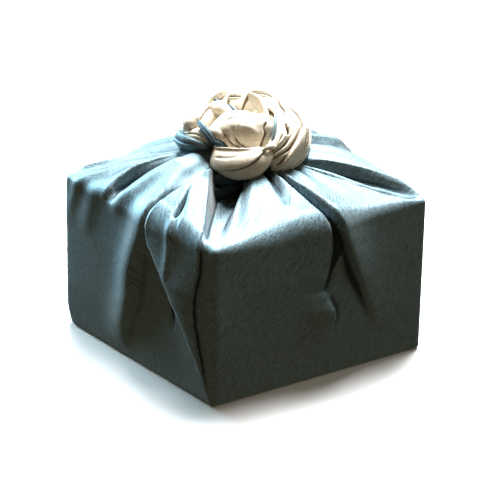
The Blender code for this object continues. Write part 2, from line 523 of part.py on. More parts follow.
def strand_rings(strand):
    """Rings of one strand: an oval section with its folds, carried along a smooth path."""
    table = np.array(strand.rows, float)
    stations = np.arange(len(table))
    steps = np.linspace(0, len(table) - 1, (len(table) - 1) * STRAND_STEPS + 1)
    across, away, up, wide, tall = (curve_through(steps, stations, column) for column in table.T)
    path = np.stack([
        (across * VIEW_COS + away * VIEW_SIN) * MM,
        (-across * VIEW_SIN + away * VIEW_COS) * MM,
        up * MM,
    ], -1)
    ahead = np.gradient(path, axis=0)
    ahead /= np.linalg.norm(ahead, axis=1, keepdims=True)
    upright = np.abs(ahead[:, 2]).mean() > 0.7
    guide = (-VIEW_SIN, -VIEW_COS, 0.0) if upright else (0.0, 0.0, 1.0)
    side = np.cross(ahead, guide)
    side /= np.linalg.norm(side, axis=1, keepdims=True)
    over = np.cross(side, ahead)
    degrees = np.linspace(0, 360, STRAND_SIDES, endpoint=False)
    angle = np.radians(degrees)
    rings = []
    for i, place in enumerate(path):
        out = relief(degrees, steps[i] / steps[-1], strand.folds)
        offset = ((wide[i] + out) * np.cos(angle))[:, None] * side[i] * MM
        offset = offset + ((tall[i] + out) * np.sin(angle))[:, None] * over[i] * MM
        rings.append(place + offset)
    return rings


def material(name, colour, roughness):
    """A plain finish of that colour."""
    made = bpy.data.materials.new(name)
    made.use_nodes = True
    shader = made.node_tree.nodes["Principled BSDF"]
    shader.inputs["Base Color"].default_value = (*colour, 1)
    shader.inputs["Roughness"].default_value = roughness
    return made


def make_rosette(cutters):
    """The rosette's strands, grown together where they touch and thinned to their main facets."""
    mesh = bpy.data.meshes.new("rosette")
    bm = bmesh.new()
    for strand in STRANDS:
        piece = lofted("strand", strand_rings(strand))
        bm.from_mesh(piece.data)
        bpy.data.objects.remove(piece)
    bmesh.ops.recalc_face_normals(bm, faces=bm.faces)
    bm.to_mesh(mesh)
    bm.free()
    rosette = bpy.data.objects.new("rosette", mesh)
    rosette.hide_render = True
    rosette.display_type = "WIRE"
    cutters.objects.link(rosette)
    grow = rosette.modifiers.new("grow together", "REMESH")
    grow.mode = "VOXEL"
    grow.voxel_size = ROSETTE_GRAIN
    ease = rosette.modifiers.new("ease", "SMOOTH")
    ease.factor = 0.5
    ease.iterations = 2
    thin_out = rosette.modifiers.new("thin out", "DECIMATE")
    thin_out.ratio = ROSETTE_TRIANGLES_KEPT
    return rosette


def make_wrap(parts, cutters):
    """The cloth: a thinned sheet given its thickness, joined to the rosette's strands."""
    wrap = lofted("wrap_cloth", cloth_rings(), close_end=False)
    parts.objects.link(wrap)
    thin_out = wrap.modifiers.new("thin out", "DECIMATE")
    thin_out.ratio = CLOTH_TRIANGLES_KEPT
    thickness = wrap.modifiers.new("thickness", "SOLIDIFY")
    thickness.thickness = CLOTH
    thickness.offset = -1
    join = wrap.modifiers.new("join the rosette", "BOOLEAN")
    join.operation = "UNION"
    join.use_self = True
    join.object = make_rosette(cutters)
    wrap.data.materials.append(material("satin", (0.16, 0.25, 0.30), 0.4))
    return wrap


def make_box(parts):
    """The plain box that the cloth is drawn up round."""
    half = SIDE / 2 - CLOTH - BOX_CLEARANCE
    foot = CLOTH + BOX_FOOT_GAP
    head = TOP - CLOTH - BOX_CLEARANCE
    bpy.ops.mesh.primitive_cube_add(size=1, location=(0, 0, (foot + head) / 2))
    box = bpy.context.object
    box.name = box.data.name = "gift_box"
    for vertex in box.data.vertices:
        vertex.co.x *= 2 * half
        vertex.co.y *= 2 * half
        vertex.co.z *= head - foot
    for collection in list(box.users_collection):
        collection.objects.unlink(box)
    parts.objects.link(box)
    edges = box.modifiers.new("edges", "BEVEL")
    edges.width = BOX_EDGE_RADIUS
    edges.segments = 3
    box.data.materials.append(material("board", (0.45, 0.36, 0.27), 0.8))
    return box


def main():
    """Clears the scene and builds the wrap and its box."""
    for obj in list(bpy.data.objects):
        bpy.data.objects.remove(obj)
    parts = bpy.data.collections.new("furoshiki wrap")
    cutters = bpy.data.collections.new("strands to join")
    bpy.context.scene.collection.children.link(parts)
    bpy.context.scene.collection.children.link(cutters)
    make_wrap(parts, cutters)
    make_box(parts)


main()
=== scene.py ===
"""Furoshiki wrap on a gift box: the satin, its folds and the rosette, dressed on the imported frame.

One square of satin, blue-grey outside and ivory inside, stands round a square box. Its sheet is
worked out on a grid of metres round the box and metres up the side, over the top edge and in to
the neck. Its tied ends are strands of folded layers, carried along smooth paths. The near corner
of the box, which faces the camera, is at -X -Y.
"""

import logging
import math
from dataclasses import dataclass
from enum import Enum

import bmesh
import bpy
import numpy as np
from mathutils import Matrix, Vector


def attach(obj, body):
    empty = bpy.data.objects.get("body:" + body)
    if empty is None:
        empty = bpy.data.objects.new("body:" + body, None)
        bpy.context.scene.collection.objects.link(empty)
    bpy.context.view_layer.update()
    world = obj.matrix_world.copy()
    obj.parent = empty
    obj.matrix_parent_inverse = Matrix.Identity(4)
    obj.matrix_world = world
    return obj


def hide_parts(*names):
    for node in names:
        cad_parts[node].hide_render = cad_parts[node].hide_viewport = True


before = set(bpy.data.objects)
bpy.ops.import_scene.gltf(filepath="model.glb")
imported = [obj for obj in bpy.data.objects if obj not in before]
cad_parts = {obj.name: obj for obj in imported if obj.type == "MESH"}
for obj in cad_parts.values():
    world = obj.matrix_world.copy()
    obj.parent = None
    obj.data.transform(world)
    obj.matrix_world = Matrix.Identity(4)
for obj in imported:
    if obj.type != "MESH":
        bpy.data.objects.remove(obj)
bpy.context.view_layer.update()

log = logging.getLogger("furoshiki")
MM = 0.001
WELD = 1e-5  # metres between points that count as one
ZERO_TO_ONE = (0.0, 1.0)
Array = np.ndarray
Rows = tuple[tuple[float, ...], ...]
Pair = tuple[float, float]
Triple = tuple[float, float, float]
Socket = bpy.types.NodeSocket
Tree = bpy.types.NodeTree


def curve_through(x: Array, stations: Array, values: Array) -> Array:
    """A cubic piece between each two stations, with mean slopes at the stations.

    Args:
        x: where the curve is read.
        stations: rising places of the values.
        values: what the curve passes through.

    Returns:
        The curve at x, level past its ends.
    """
    slopes = np.gradient(values, stations)
    i = np.clip(np.searchsorted(stations, x, side="right") - 1, 0, len(stations) - 2)
    run = stations[i + 1] - stations[i]
    t = np.clip((x - stations[i]) / run, 0, 1)
    start = (1 + 2 * t) * (1 - t) ** 2 * values[i] + t * (1 - t) ** 2 * run * slopes[i]
    end = t * t * (3 - 2 * t) * values[i + 1] + t * t * (t - 1) * run * slopes[i + 1]
    return start + end


def eased(x: Array, stations: Array, values: Array) -> Array:
    """Values between stations, along 3t^2 - 2t^3, so that it is level at each and overshoots none.

    Args:
        x: where the values are read.
        stations: rising places of the values.
        values: what is passed through.

    Returns:
        The values at x.
    """
    i = np.clip(np.searchsorted(stations, x, side="right") - 1, 0, len(stations) - 2)
    t = np.clip((x - stations[i]) / (stations[i + 1] - stations[i]), 0, 1)
    return values[i] + (values[i + 1] - values[i]) * t * t * (3 - 2 * t)


def from_near(place: Array, whole: float) -> Array:
    """A place on a closed round, from minus half of the whole to plus half."""
    return np.mod(place + whole / 2, whole) - whole / 2


def unit(vectors: Array) -> Array:
    """The vectors of the last axis, each made one long."""
    return vectors / np.maximum(np.linalg.norm(vectors, axis=-1, keepdims=True), 1e-12)


# its hollowness is the mask of the painted shade that darkens creases
def hollowness(points: Array, reaches: tuple[int, ...]) -> Array:
    """How hollow a grid of points is: the mean sine at which its neighbours rise over its plane.

    Args:
        points: rows by columns by 3, whose last column joins the first.
        reaches: how many grid steps away the neighbours are.

    Returns:
        0 on a flat or a crest, towards 1 in a sharp crease.
    """
    rows = np.arange(len(points))
    up = points[np.minimum(rows + 1, rows[-1])] - points[np.maximum(rows - 1, 0)]
    normals = unit(np.cross(np.roll(points, -1, 1) - np.roll(points, 1, 1), up))
    rises = []
    for reach in reaches:
        neighbours = (
            points[np.minimum(rows + reach, rows[-1])], points[np.maximum(rows - reach, 0)],
            np.roll(points, reach, 1), np.roll(points, -reach, 1),
        )
        for neighbour in neighbours:
            away = neighbour - points
            distance = np.maximum(np.linalg.norm(away, axis=-1), 1e-6)
            rises.append((away * normals).sum(-1) / distance)
    return np.clip(np.mean(rises, axis=0), 0, 1)


def put_in_scene(name: str, data: bpy.types.ID) -> bpy.types.Object:
    """A new object of that data, linked to the scene, at the origin."""
    made = bpy.data.objects.new(name, data)
    bpy.context.scene.collection.objects.link(made)
    return made


def grid_mesh(
    name: str, points: Array, threads: Array, reaches: tuple[int, ...], painted_shade: float = 0.0
) -> bpy.types.Object:
    """A mesh of quads on a grid of points, smooth, with the cloth's threads as its UV map.

    Its "hollow" attribute is painted shade: how much its colour is darkened at each point.

    Args:
        name: of the object.
        points: rows by columns by 3, in metres.
        threads: rows by columns by 2, or by 4 where a quad's two sides differ: u, v at its
            start and at its end.
        reaches: how many grid steps away the neighbours are that tell a hollow.
        painted_shade: the least painted shade in its colour, for a piece that lies deep in the rosette.

    Returns:
        The object, linked to the scene, at the origin.
    """
    rows, columns = points.shape[:2]
    row, column = np.meshgrid(np.arange(rows - 1), np.arange(columns), indexing="ij")
    beside = (column + 1) % columns
    quads = np.stack([
        row * columns + column, row * columns + beside,
        (row + 1) * columns + beside, (row + 1) * columns + column,
    ], -1).reshape(-1, 4)
    mesh = bpy.data.meshes.new(name)
    mesh.vertices.add(rows * columns)
    mesh.vertices.foreach_set("co", points.astype(np.float32).ravel())
    mesh.loops.add(quads.size)
    mesh.loops.foreach_set("vertex_index", quads.astype(np.int32).ravel())
    mesh.polygons.add(len(quads))
    mesh.polygons.foreach_set("loop_start", np.arange(0, quads.size, 4, dtype=np.int32))
    mesh.update(calc_edges=True)
    if threads.shape[-1] == 4:
        start, end = threads[..., :2], threads[..., 2:]
        corners = [start[row, column], end[row, column], end[row + 1, column], start[row + 1, column]]
    else:
        corners = [
            threads[row, column], threads[row, beside],
            threads[row + 1, beside], threads[row + 1, column],
        ]
    layer = mesh.uv_layers.new(name="threads")
    layer.data.foreach_set("uv", np.stack(corners, -2).astype(np.float32).ravel())
    # painted shade: hollowness in creases, or at least the piece's set amount, darkens the colour
    hollow = mesh.attributes.new("hollow", "FLOAT", "POINT")
    depth = np.maximum(hollowness(points, reaches), painted_shade)
    hollow.data.foreach_set("value", depth.astype(np.float32).ravel())
    mesh.shade_smooth()
    return put_in_scene(name, mesh)


class Side(Enum):
    """Which side of the cloth a piece shows."""

    OUTER = "outer"
    REVERSE = "reverse"


@dataclass(frozen=True)
class Fold:
    """One fold of the sheet or of a strand: a ridge, or a trough where its height is negative.

    Its height is size(along) * exp(-(off / width) ** crest), with one width to its left and
    another to its right, and on the sheet it leans sideways in proportion to its height.
    """

    name: str
    left: float  # width in mm on the sheet, in degrees on a strand
    right: float
    rows: Rows  # place along and place round, in mm or in share and degrees, then height in mm
    crest: float = 2.0  # 2 is a round crest, 1 a sharp one
    lean: float = 0.0  # in mm

    def spread(
        self, along: Array, around: Array, whole: float, narrowing: Array | float
    ) -> tuple[Array, Array]:
        """The fold's size and its bell across, at each point.

        Args:
            along: the way that the fold runs.
            around: the way across it.
            whole: once round.
            narrowing: what the distance off the fold is multiplied by.

        Returns:
            Size in mm, 0 past the fold's ends, and the bell's share of it.
        """
        stations, centres, sizes = np.array(self.rows, float).T
        size = eased(along, stations, sizes)
        size = np.where((along < stations[0]) | (along > stations[-1]), 0, size)
        off = from_near(around - curve_through(along, stations, centres), whole)
        width = np.where(off < 0, self.left, self.right)
        return size, np.exp(-np.abs(off * narrowing / width) ** self.crest)


@dataclass(frozen=True)
class Wrapped:
    """Sizes of the wrapped box, in metres, as the CAD has them."""

    side: float = 0.250
    top: float = 0.156
    cloth: float = 0.0014
    edge_radii: Rows = (
        # around, radius of the top edge in mm
        (0.000, 6), (0.030, 10), (0.070, 13), (0.115, 11), (0.150, 8), (0.200, 7), (0.245, 4),
        (0.300, 8), (0.500, 6), (0.740, 4), (0.760, 4), (0.800, 8), (0.900, 10), (0.970, 8), (1.000, 6),
    )
    stand_off: float = 0.001
    foot_radius: float = 0.003
    corner_radius: float = 0.004
    slack_corner_radius: float = 0.016
    slack_corner_height: float = 0.022
    neck_radius: float = 0.037
    neck_corner_radius: float = 0.014
    rim_share: float = 0.85
    tuck_height: float = 0.189
    tuck_from: float = 0.166
    tuck_ease: float = 0.010
    tuck_run: float = 0.020  # metres of cloth turned down inside the rosette
    tuck_steps: Rows = ((0.93, 0.30), (0.82, 1.0))  # share of the rim's width, share of the way down

    @property
    def perimeter(self) -> float:
        """Metres round the box."""
        return 4 * self.side

    @property
    def run_in(self) -> float:
        """Metres from the side in to the neck."""
        return self.side / 2 - self.neck_radius

    def edge_radius(self, around: Array) -> Array:
        """Radius of the top edge in metres, eased between its stations round the box."""
        stations, radii = np.array(self.edge_radii, float).T
        return eased(np.mod(around, self.perimeter), stations, radii) * MM


@dataclass
class DrawnCloth:
    """The sheet of the wrap, from under the box to inside the rosette."""

    sizes: Wrapped
    folds: tuple[Fold, ...]
    roof_shares: tuple[float, ...]
    roof_sections: Rows
    gap_left_hem: Rows
    gap_right_hem: Rows
    gap_left_at_table: float = -0.024
    gap_right_at_table: float = 0.012
    gap_reach: float = 0.150
    neck_crowding: float = 0.55
    trough_limit: float = 0.85  # of the roof's height over the box
    face_puff: float = 3.2 * MM
    face_fullness: float = 0.7  # 1 is a sine across the face, less is flatter
    face_rise: float = 0.050  # metres over which the puff grows from the foot
    face_fall: float = 0.040  # and over which it dies under the top edge
    pleats: int = 22
    pleat_height: float = 1.6 * MM
    pleat_start: float = 0.15  # share of the way in to the neck
    pleat_run: float = 0.50
    pleat_shift: float = 1.35  # radians by which they crowd and spread
    pleat_waves: int = 5
    calm_centre: float = 0.020  # of the plain stretch by the near corner, in metres round the box
    calm_reach: float = 0.070
    calm_share: float = 0.9
    underside_rows: int = 5
    side_rows: int = 60
    edge_rows: int = 18
    roof_rows: int = 44
    edge_rows_from: float = -0.014  # metres from the top edge
    edge_rows_to: float = 0.008

    def corner_radius(self, around: Array, up: Array) -> Array:
        """Radius of the nearest upright edge: larger at the foot of the far left one.

        Args:
            around: metres round the box.
            up: height in metres.

        Returns:
            The radius in metres, corner + extra * (1 - up / height) ** 1.5 at that foot.
        """
        s = self.sizes
        near = np.abs(np.mod(around, s.perimeter) - 3 * s.side) < s.side / 2
        drawn_in = np.clip(1 - up / s.slack_corner_height, 0, 1) ** 1.5
        return s.corner_radius + near * (s.slack_corner_radius - s.corner_radius) * drawn_in

    def outline(self, around: Array, half: float, radius: Array | float) -> tuple[Array, ...]:
        """A point on a square with rounded corners: the square's own point, drawn in to the arc.

        Args:
            around: metres round the wrapped box.
            half: half the square's width in metres.
            radius: of its corners in metres.

        Returns:
            x, y, and the outward direction's x and y.
        """
        turn = np.mod(around, self.sizes.perimeter) / self.sizes.side
        face = np.floor(turn).astype(int) % 4
        along = (turn - np.floor(turn) - 0.5) * 2 * half
        edge = half + 0 * along
        x = np.choose(face, (along, edge, -along, -edge))
        y = np.choose(face, (-edge, along, edge, -along))
        flat = half - radius
        in_x, in_y = np.clip(x, -flat, flat), np.clip(y, -flat, flat)
        off = np.maximum(np.hypot(x - in_x, y - in_y), 1e-9)
        out_x, out_y = (x - in_x) / off, (y - in_y) / off
        round_it = (np.abs(x) > flat) & (np.abs(y) > flat)
        x = np.where(round_it, in_x + radius * out_x, x)
        y = np.where(round_it, in_y + radius * out_y, y)
        return x, y, out_x, out_y

    def beside_the_gap(self, around: Array, along: Array) -> Array:
        """Metres round the box, stretched so that the gap's two hems lie where the table has them.

        Args:
            around: metres round the box.
            along: metres along the meridian.

        Returns:
            The place to read in the roof's table.
        """
        reach = self.gap_reach
        signed = from_near(around, self.sizes.perimeter)
        left = curve_through(along, *np.array(self.gap_left_hem).T)
        right = curve_through(along, *np.array(self.gap_right_hem).T)
        at_left, at_right = self.gap_left_at_table, self.gap_right_at_table
        beyond_left = (signed + reach) * (at_left + reach) / (left + reach) - reach
        beyond_right = reach - (reach - signed) * (reach - at_right) / (reach - right)
        inside = at_left + (signed - left) / (right - left) * (at_right - at_left)
        moved = np.where(signed < left, beyond_left, np.where(signed > right, beyond_right, inside))
        return np.where(np.abs(signed) < reach, moved, signed)

    def roof_lift(self, around: Array, share: Array) -> Array:
        """Height of the sheet over the box's top, eased round the box and cubic on the way in.

        Args:
            around: place in the table, in metres round the box.
            share: of the way in to the neck.

        Returns:
            The height in metres, never under the box's top.
        """
        table = np.array(self.roof_sections, float)
        table = np.vstack([table, table[:1]])
        table[-1, 0] = self.sizes.perimeter
        around = np.mod(around, self.sizes.perimeter)
        heights = [np.zeros_like(around)]
        heights += [eased(around, table[:, 0], column) for column in table[:, 1:].T]
        heights = np.stack(heights, -1) * MM
        shares = np.array(self.roof_shares)
        slopes = np.gradient(heights, shares, axis=-1)
        i = np.clip(np.searchsorted(shares, share, side="right") - 1, 0, len(shares) - 2)
        run = shares[i + 1] - shares[i]
        t = np.clip((share - shares[i]) / run, 0, 1)

        def at(table_of: Array, index: Array) -> Array:
            """The table's column that each point's index names."""
            return np.take_along_axis(table_of, index[..., None], -1)[..., 0]

        low, high = at(heights, i), at(heights, i + 1)
        rise = t * (1 - t) ** 2 * run * at(slopes, i) + t * t * (t - 1) * run * at(slopes, i + 1)
        return np.maximum(low + (high - low) * t * t * (3 - 2 * t) + rise, 0)

    def fold_fields(self, around: Array, along: Array, share: Array) -> tuple[Array, Array]:
        """Sum of the folds: how far out the sheet stands and how far it leans.

        Args:
            around: metres round the box.
            along: metres along the meridian.
            share: of the way in to the neck.

        Returns:
            Height and lean, in metres.
        """
        whole = self.sizes.perimeter
        height, lean = np.zeros_like(around), np.zeros_like(around)
        narrowing = 1 - share * (1 - self.sizes.neck_radius * 2 * math.pi / whole)
        narrowing = narrowing / (1 - self.neck_crowding * share)
        for fold in self.folds:
            size, bell = fold.spread(along / MM, around / MM, whole / MM, narrowing)
            height += size * MM * bell
            lean += fold.lean * MM * bell * size / max(abs(row[2]) for row in fold.rows)
        return height, lean

    def puff(self, around: Array, along: Array, side_end: Array) -> Array:
        """How far the middle of a face stands out: sin(pi * place) ** fullness, eased up the side.

        Args:
            around: metres round the box.
            along: metres along the meridian.
            side_end: where the upright part ends, in metres up.

        Returns:
            Height over the side, in metres.
        """
        s = self.sizes
        middle = np.sin(math.pi * np.mod(around, s.side) / s.side) ** self.face_fullness
        foot = np.clip(along / self.face_rise, 0, 1) ** 1.5
        return self.face_puff * middle * foot * np.clip((side_end - along) / self.face_fall, 0, 1)

    def small_pleats(self, around: Array, share: Array) -> Array:
        """A sine of uneven pleats that deepens towards the neck and is calm by the near corner.

        Args:
            around: metres round the box.
            share: of the way in to the neck.

        Returns:
            Height over the roof, in metres.
        """
        phase = 2 * math.pi * self.pleats * around / self.sizes.perimeter
        phase = phase + self.pleat_shift * np.sin(phase * self.pleat_waves / self.pleats + 1.0)
        signed = from_near(around, self.sizes.perimeter)
        calm = 1 - self.calm_share * np.exp(-(((signed - self.calm_centre) / self.calm_reach) ** 4))
        deepening = np.clip((share - self.pleat_start) / self.pleat_run, 0, 1) ** 1.5
        return self.pleat_height * calm * deepening * np.sin(phase)

    def surface(self, around: Array, along: Array) -> Array:
        """The outside of the cloth: a rounded square, an arc over its edge, then lines to the neck.

        The folds stand out from the side, turn with the edge's arc and stand up from the roof.

        Args:
            around: metres round the box.
            along: metres along the meridian, of the same shape.

        Returns:
            Points, in metres.
        """
        s = self.sizes
        radius = s.edge_radius(around)
        side_end = s.top - radius
        roof_start = side_end + radius * math.pi / 2
        turn = np.clip((along - side_end) / radius, 0, math.pi / 2)
        inward = radius * (1 - np.cos(turn)) + np.maximum(along - roof_start, 0)
        up = np.minimum(along, side_end) + radius * np.sin(turn)
        share = inward / s.run_in
        x, y, out_x, out_y = self.outline(around, s.side / 2 + s.stand_off, self.corner_radius(around, up))
        neck_x, neck_y, _, _ = self.outline(around, s.neck_radius, s.neck_corner_radius)
        x = x + (neck_x - x) * share
        y = y + (neck_y - y) * share
        lift = self.roof_lift(self.beside_the_gap(around, along), share)
        height, lean = self.fold_fields(around, along, share)
        height += self.puff(around, along, side_end) + self.small_pleats(around, share)
        height = np.maximum(height, -self.trough_limit * lift)
        x = x + height * np.cos(turn) * out_x - lean * out_y
        y = y + height * np.cos(turn) * out_y + lean * out_x
        return np.stack([x, y, up + lift + height * np.sin(turn)], -1)

    def threads(self, around: Array, along: Array, face: Array) -> Array:
        """Place in the cut cloth, whose threads run at 45 degrees to the box's edges.

        Args:
            around: metres round the box.
            along: metres along the meridian.
            face: 0 to 3, the side of the box that the cloth belongs to.

        Returns:
            Metres along and across the slubbed threads.
        """
        s = self.sizes
        beside = around - face * s.side - s.side / 2
        out = s.side / 2 + along
        x = np.choose(face, (beside, out, -beside, -out))
        y = np.choose(face, (-out, beside, out, -beside))
        return np.stack([(x - y), (x + y)], -1) * math.sqrt(0.5)

    def columns(self) -> Array:
        """Metres round the box of the grid's columns, close where the photo shows folds."""
        stretches = (
            # from, to, spacing in mm
            (0.000, 0.090, 3.0), (0.090, 0.205, 2.0), (0.205, 0.250, 2.6), (0.250, 0.500, 3.8),
            (0.500, 0.750, 3.8), (0.750, 0.820, 2.6), (0.820, 0.960, 1.8), (0.960, 1.000, 1.3),
        )
        runs = [
            np.linspace(a, b, round((b - a) / MM / gap), endpoint=False) for a, b, gap in stretches
        ]
        return np.concatenate(runs)

    def rows(self) -> Array:
        """Metres along the meridian of the grid's rows, from the foot to the neck."""
        s = self.sizes
        edge, roof = s.top + self.edge_rows_from, s.top + self.edge_rows_to
        return np.concatenate([
            np.linspace(s.foot_radius, edge, self.side_rows, endpoint=False),
            np.linspace(edge, roof, self.edge_rows, endpoint=False),
            np.linspace(roof, s.top + s.rim_share * s.run_in, self.roof_rows),
        ])

    def build(self) -> bpy.types.Object:
        """The sheet as one mesh with the cloth's thickness, from the middle of the underside."""
        s = self.sizes
        around = self.columns()
        face = np.minimum((around / s.side).astype(int), 3)
        ahead = np.append(around[1:], s.perimeter)
        rings, threads = [], []
        corner = self.corner_radius(around, 0 * around)
        half = s.side / 2 + s.stand_off - s.foot_radius
        x, y, _, _ = self.outline(around, half, corner - s.foot_radius)
        for share in np.linspace(0, 1, self.underside_rows):
            rings.append(share * np.stack([x, y, 0 * x], -1))
            threads.append(self._thread_pair(around, ahead, (share - 1) * half, face))
        inset = s.foot_radius * (1 - math.sqrt(0.5))
        x, y, _, _ = self.outline(around, s.side / 2 + s.stand_off - inset, corner - inset)
        rings.append(np.stack([x, y, np.full_like(x, inset)], -1))
        threads.append(self._thread_pair(around, ahead, inset, face))
        rows = self.rows()
        for along in rows:
            rings.append(self.surface(around, np.full_like(around, along)))
            threads.append(self._thread_pair(around, ahead, along, face))
        rim = rings[-1]
        turned = np.clip((rim[:, 2] - s.tuck_from) / s.tuck_ease, 0, 1)
        for width, down in s.tuck_steps:
            up = rim[:, 2] + (s.tuck_height - rim[:, 2]) * down * turned
            rings.append(np.stack([rim[:, 0] * width, rim[:, 1] * width, up], -1))
            threads.append(self._thread_pair(around, ahead, rows[-1] + s.tuck_run * down, face))
        made = grid_mesh("cloth_body", np.array(rings), np.array(threads), reaches=(2, 5))
        weld_centre(made)
        thickness = made.modifiers.new("thickness", "SOLIDIFY")
        thickness.thickness = s.cloth
        thickness.offset = -1
        return made

    def _thread_pair(self, around: Array, ahead: Array, along: float, face: Array) -> Array:
        """Threads at the start and at the end of each column's quads."""
        level = np.full_like(around, along)
        return np.concatenate([self.threads(around, level, face), self.threads(ahead, level, face)], -1)


def weld_centre(made: bpy.types.Object) -> None:
    """Merges the points that share a place, so that the pole of a grid is closed.

    Args:
        made: the object whose mesh is merged.
    """
    bm = bmesh.new()
    bm.from_mesh(made.data)
    bmesh.ops.remove_doubles(bm, verts=bm.verts, dist=WELD)
    bm.to_mesh(made.data)
    bm.free()
    made.data.shade_smooth()


@dataclass(frozen=True)
class Layer:
    """One folded layer on a strand: the section swells to its edge, then drops past it."""

    first: float  # degrees round the section where the strand starts
    last: float  # and where it ends
    height: float  # as a share of the radius
    width: float  # degrees over which it swells


@dataclass(frozen=True)
class Strand:
    """A tied end of the cloth, as one strand of the rosette."""

    name: str
    rows: Rows  # across, away, up, half width and half height, in mm
    layers: tuple[Layer, ...] = ()
    folds: tuple[Fold, ...] = ()  # rows of progress, degrees round the section, height in mm
    side: Side = Side.REVERSE
    # painted shade laid into the strand's colour: the deeper in the rosette, the more
    painted_shade: float = 0.0  # how deep in the rosette's shade it lies, towards 1
    sides: int = 160
    steps: int = 30


@dataclass
class Rosette:
    """The tied ends: a bud in a ring of strands, laid out as seen from the near corner."""

    view_cos: float = 0.8
    view_sin: float = 0.6
    drop: float = 0.3  # of a layer's width, in which it falls past its edge
    upright_from: float = 0.7  # mean rise of a path that is taken as upright

    def section(self, degrees: Array, progress: Array, layers: tuple[Layer, ...]) -> Array:
        """Radius as a share: 1 + height * (swell before the edge - drop past it), for each layer.

        Args:
            degrees: round the section.
            progress: 0 to 1 along the strand.
            layers: folded layers.

        Returns:
            The radius as a share of the plain oval's.
        """
        scale = np.ones_like(degrees)
        for layer in layers:
            edge = layer.first + (layer.last - layer.first) * progress
            past = from_near(degrees - edge, 360)
            swell = np.exp(np.minimum(past, 0) / layer.width) * (past < 0)
            drop = np.exp(-np.maximum(past, 0) / (layer.width * self.drop)) * (past >= 0)
            scale = scale + layer.height * (swell - drop)
        return scale

    def relief(self, degrees: Array, progress: Array, folds: tuple[Fold, ...]) -> Array:
        """Sum of the folds on a strand: size(progress) * exp(-(off / width) ** crest), in mm.

        Args:
            degrees: round the section.
            progress: 0 to 1 along the strand.
            folds: whose widths are in degrees.

        Returns:
            How far out the strand's surface stands.
        """
        height = np.zeros_like(degrees)
        for fold in folds:
            size, bell = fold.spread(progress, degrees, 360, 1)
            height += size * bell
        return height

    def surface(self, strand: Strand) -> tuple[Array, Array]:
        """Points of a strand, row by row along its path, and the path itself, in metres.

        Args:
            strand: what is laid out.

        Returns:
            Points of the sections, and of the path.
        """
        table = np.array(strand.rows, float)
        stations = np.arange(len(table), dtype=float)
        steps = np.linspace(0, len(table) - 1, (len(table) - 1) * strand.steps + 1)
        across, away, up, wide, tall = (curve_through(steps, stations, c) for c in table.T)
        path = np.stack([
            across * self.view_cos + away * self.view_sin,
            -across * self.view_sin + away * self.view_cos,
            up,
        ], -1) * MM
        ahead = unit(np.gradient(path, axis=0))
        upright = np.abs(ahead[:, 2]).mean() > self.upright_from
        guide = (-self.view_sin, -self.view_cos, 0.0) if upright else (0.0, 0.0, 1.0)
        side = unit(np.cross(ahead, guide))
        over = np.cross(side, ahead)
        degrees = np.linspace(360, 0, strand.sides, endpoint=False)
        degree_grid, progress = np.meshgrid(degrees, steps / steps[-1])
        scale = self.section(degree_grid, progress, strand.layers)
        out = self.relief(degree_grid, progress, strand.folds)
        turn = np.radians(degree_grid)
        points = (
            path[:, None]
            + ((wide[:, None] * scale + out) * np.cos(turn) * MM)[..., None] * side[:, None]
            + ((tall[:, None] * scale + out) * np.sin(turn) * MM)[..., None] * over[:, None]
        )
        return points, path

    def build(self, strand: Strand) -> bpy.types.Object:
        """A strand: an oval of folded layers, carried along a smooth path, closed at both ends.

        Args:
            strand: what is built.

        Returns:
            The object.
        """
        points, path = self.surface(strand)
        around = np.ones((strand.sides, 1))
        points = np.concatenate([[path[0] * around], points, [path[-1] * around]])
        length = np.concatenate([[0], np.cumsum(np.linalg.norm(np.diff(path, axis=0), axis=1))])
        length = np.concatenate([length[:1], length, length[-1:]])
        girth = np.linspace(0, 2 * math.pi, strand.sides, endpoint=False) * strand.rows[1][3] * MM
        threads = np.stack(np.meshgrid(girth, length), -1)
        made = grid_mesh("rosette_" + strand.name, points, threads, reaches=(3, 6), painted_shade=strand.painted_shade)
        weld_centre(made)
        return made


def new_finish(name: str) -> tuple[bpy.types.Material, Tree, bpy.types.Node]:
    """A new material, its nodes and its Principled shader."""
    made = bpy.data.materials.new(name)
    made.use_nodes = True
    return made, made.node_tree, made.node_tree.nodes["Principled BSDF"]


def fill_inputs(tree: Tree, node: bpy.types.Node, inputs: dict) -> None:
    """Links or sets the inputs of a node.

    Args:
        tree: that the node is in.
        node: whose inputs are meant.
        inputs: a socket to link or a value to set, by the input's name or number.
    """
    for key, value in inputs.items():
        if isinstance(value, Socket):
            tree.links.new(value, node.inputs[key])
        else:
            node.inputs[key].default_value = value


def add_node(tree: Tree, kind: str, inputs: dict) -> bpy.types.Node:
    """A new node of that kind, with its inputs linked or set."""
    node = tree.nodes.new(kind)
    fill_inputs(tree, node, inputs)
    return node


def remapped(tree: Tree, value: Socket, source: Pair, target: Pair, kind: str = "LINEAR") -> Socket:
    """A value carried from one range to another, and kept inside it.

    Args:
        tree: where the node goes.
        value: what is carried over.
        source: its range.
        target: the range it comes out in.
        kind: how it goes from one end to the other.

    Returns:
        The new value.
    """
    node = add_node(tree, "ShaderNodeMapRange", {
        "Value": value, "From Min": source[0], "From Max": source[1],
        "To Min": target[0], "To Max": target[1],
    })
    node.interpolation_type = kind
    return node.outputs["Result"]


def bump_normal(tree: Tree, height: Socket, strength: float, depth: float) -> Socket:
    """The normal of a surface with that height from 0 to 1, whose depth is in metres."""
    inputs = {"Height": height, "Strength": strength, "Distance": depth}
    return add_node(tree, "ShaderNodeBump", inputs).outputs["Normal"]


@dataclass(frozen=True)
class Colours:
    """The colours of one side of the satin: two tones of its grain, its slubs, and painted shade for
    creases.
    """

    shade: Triple
    light: Triple
    slub: Triple
    # painted shade, laid into creases and deep strands
    hollow: Triple


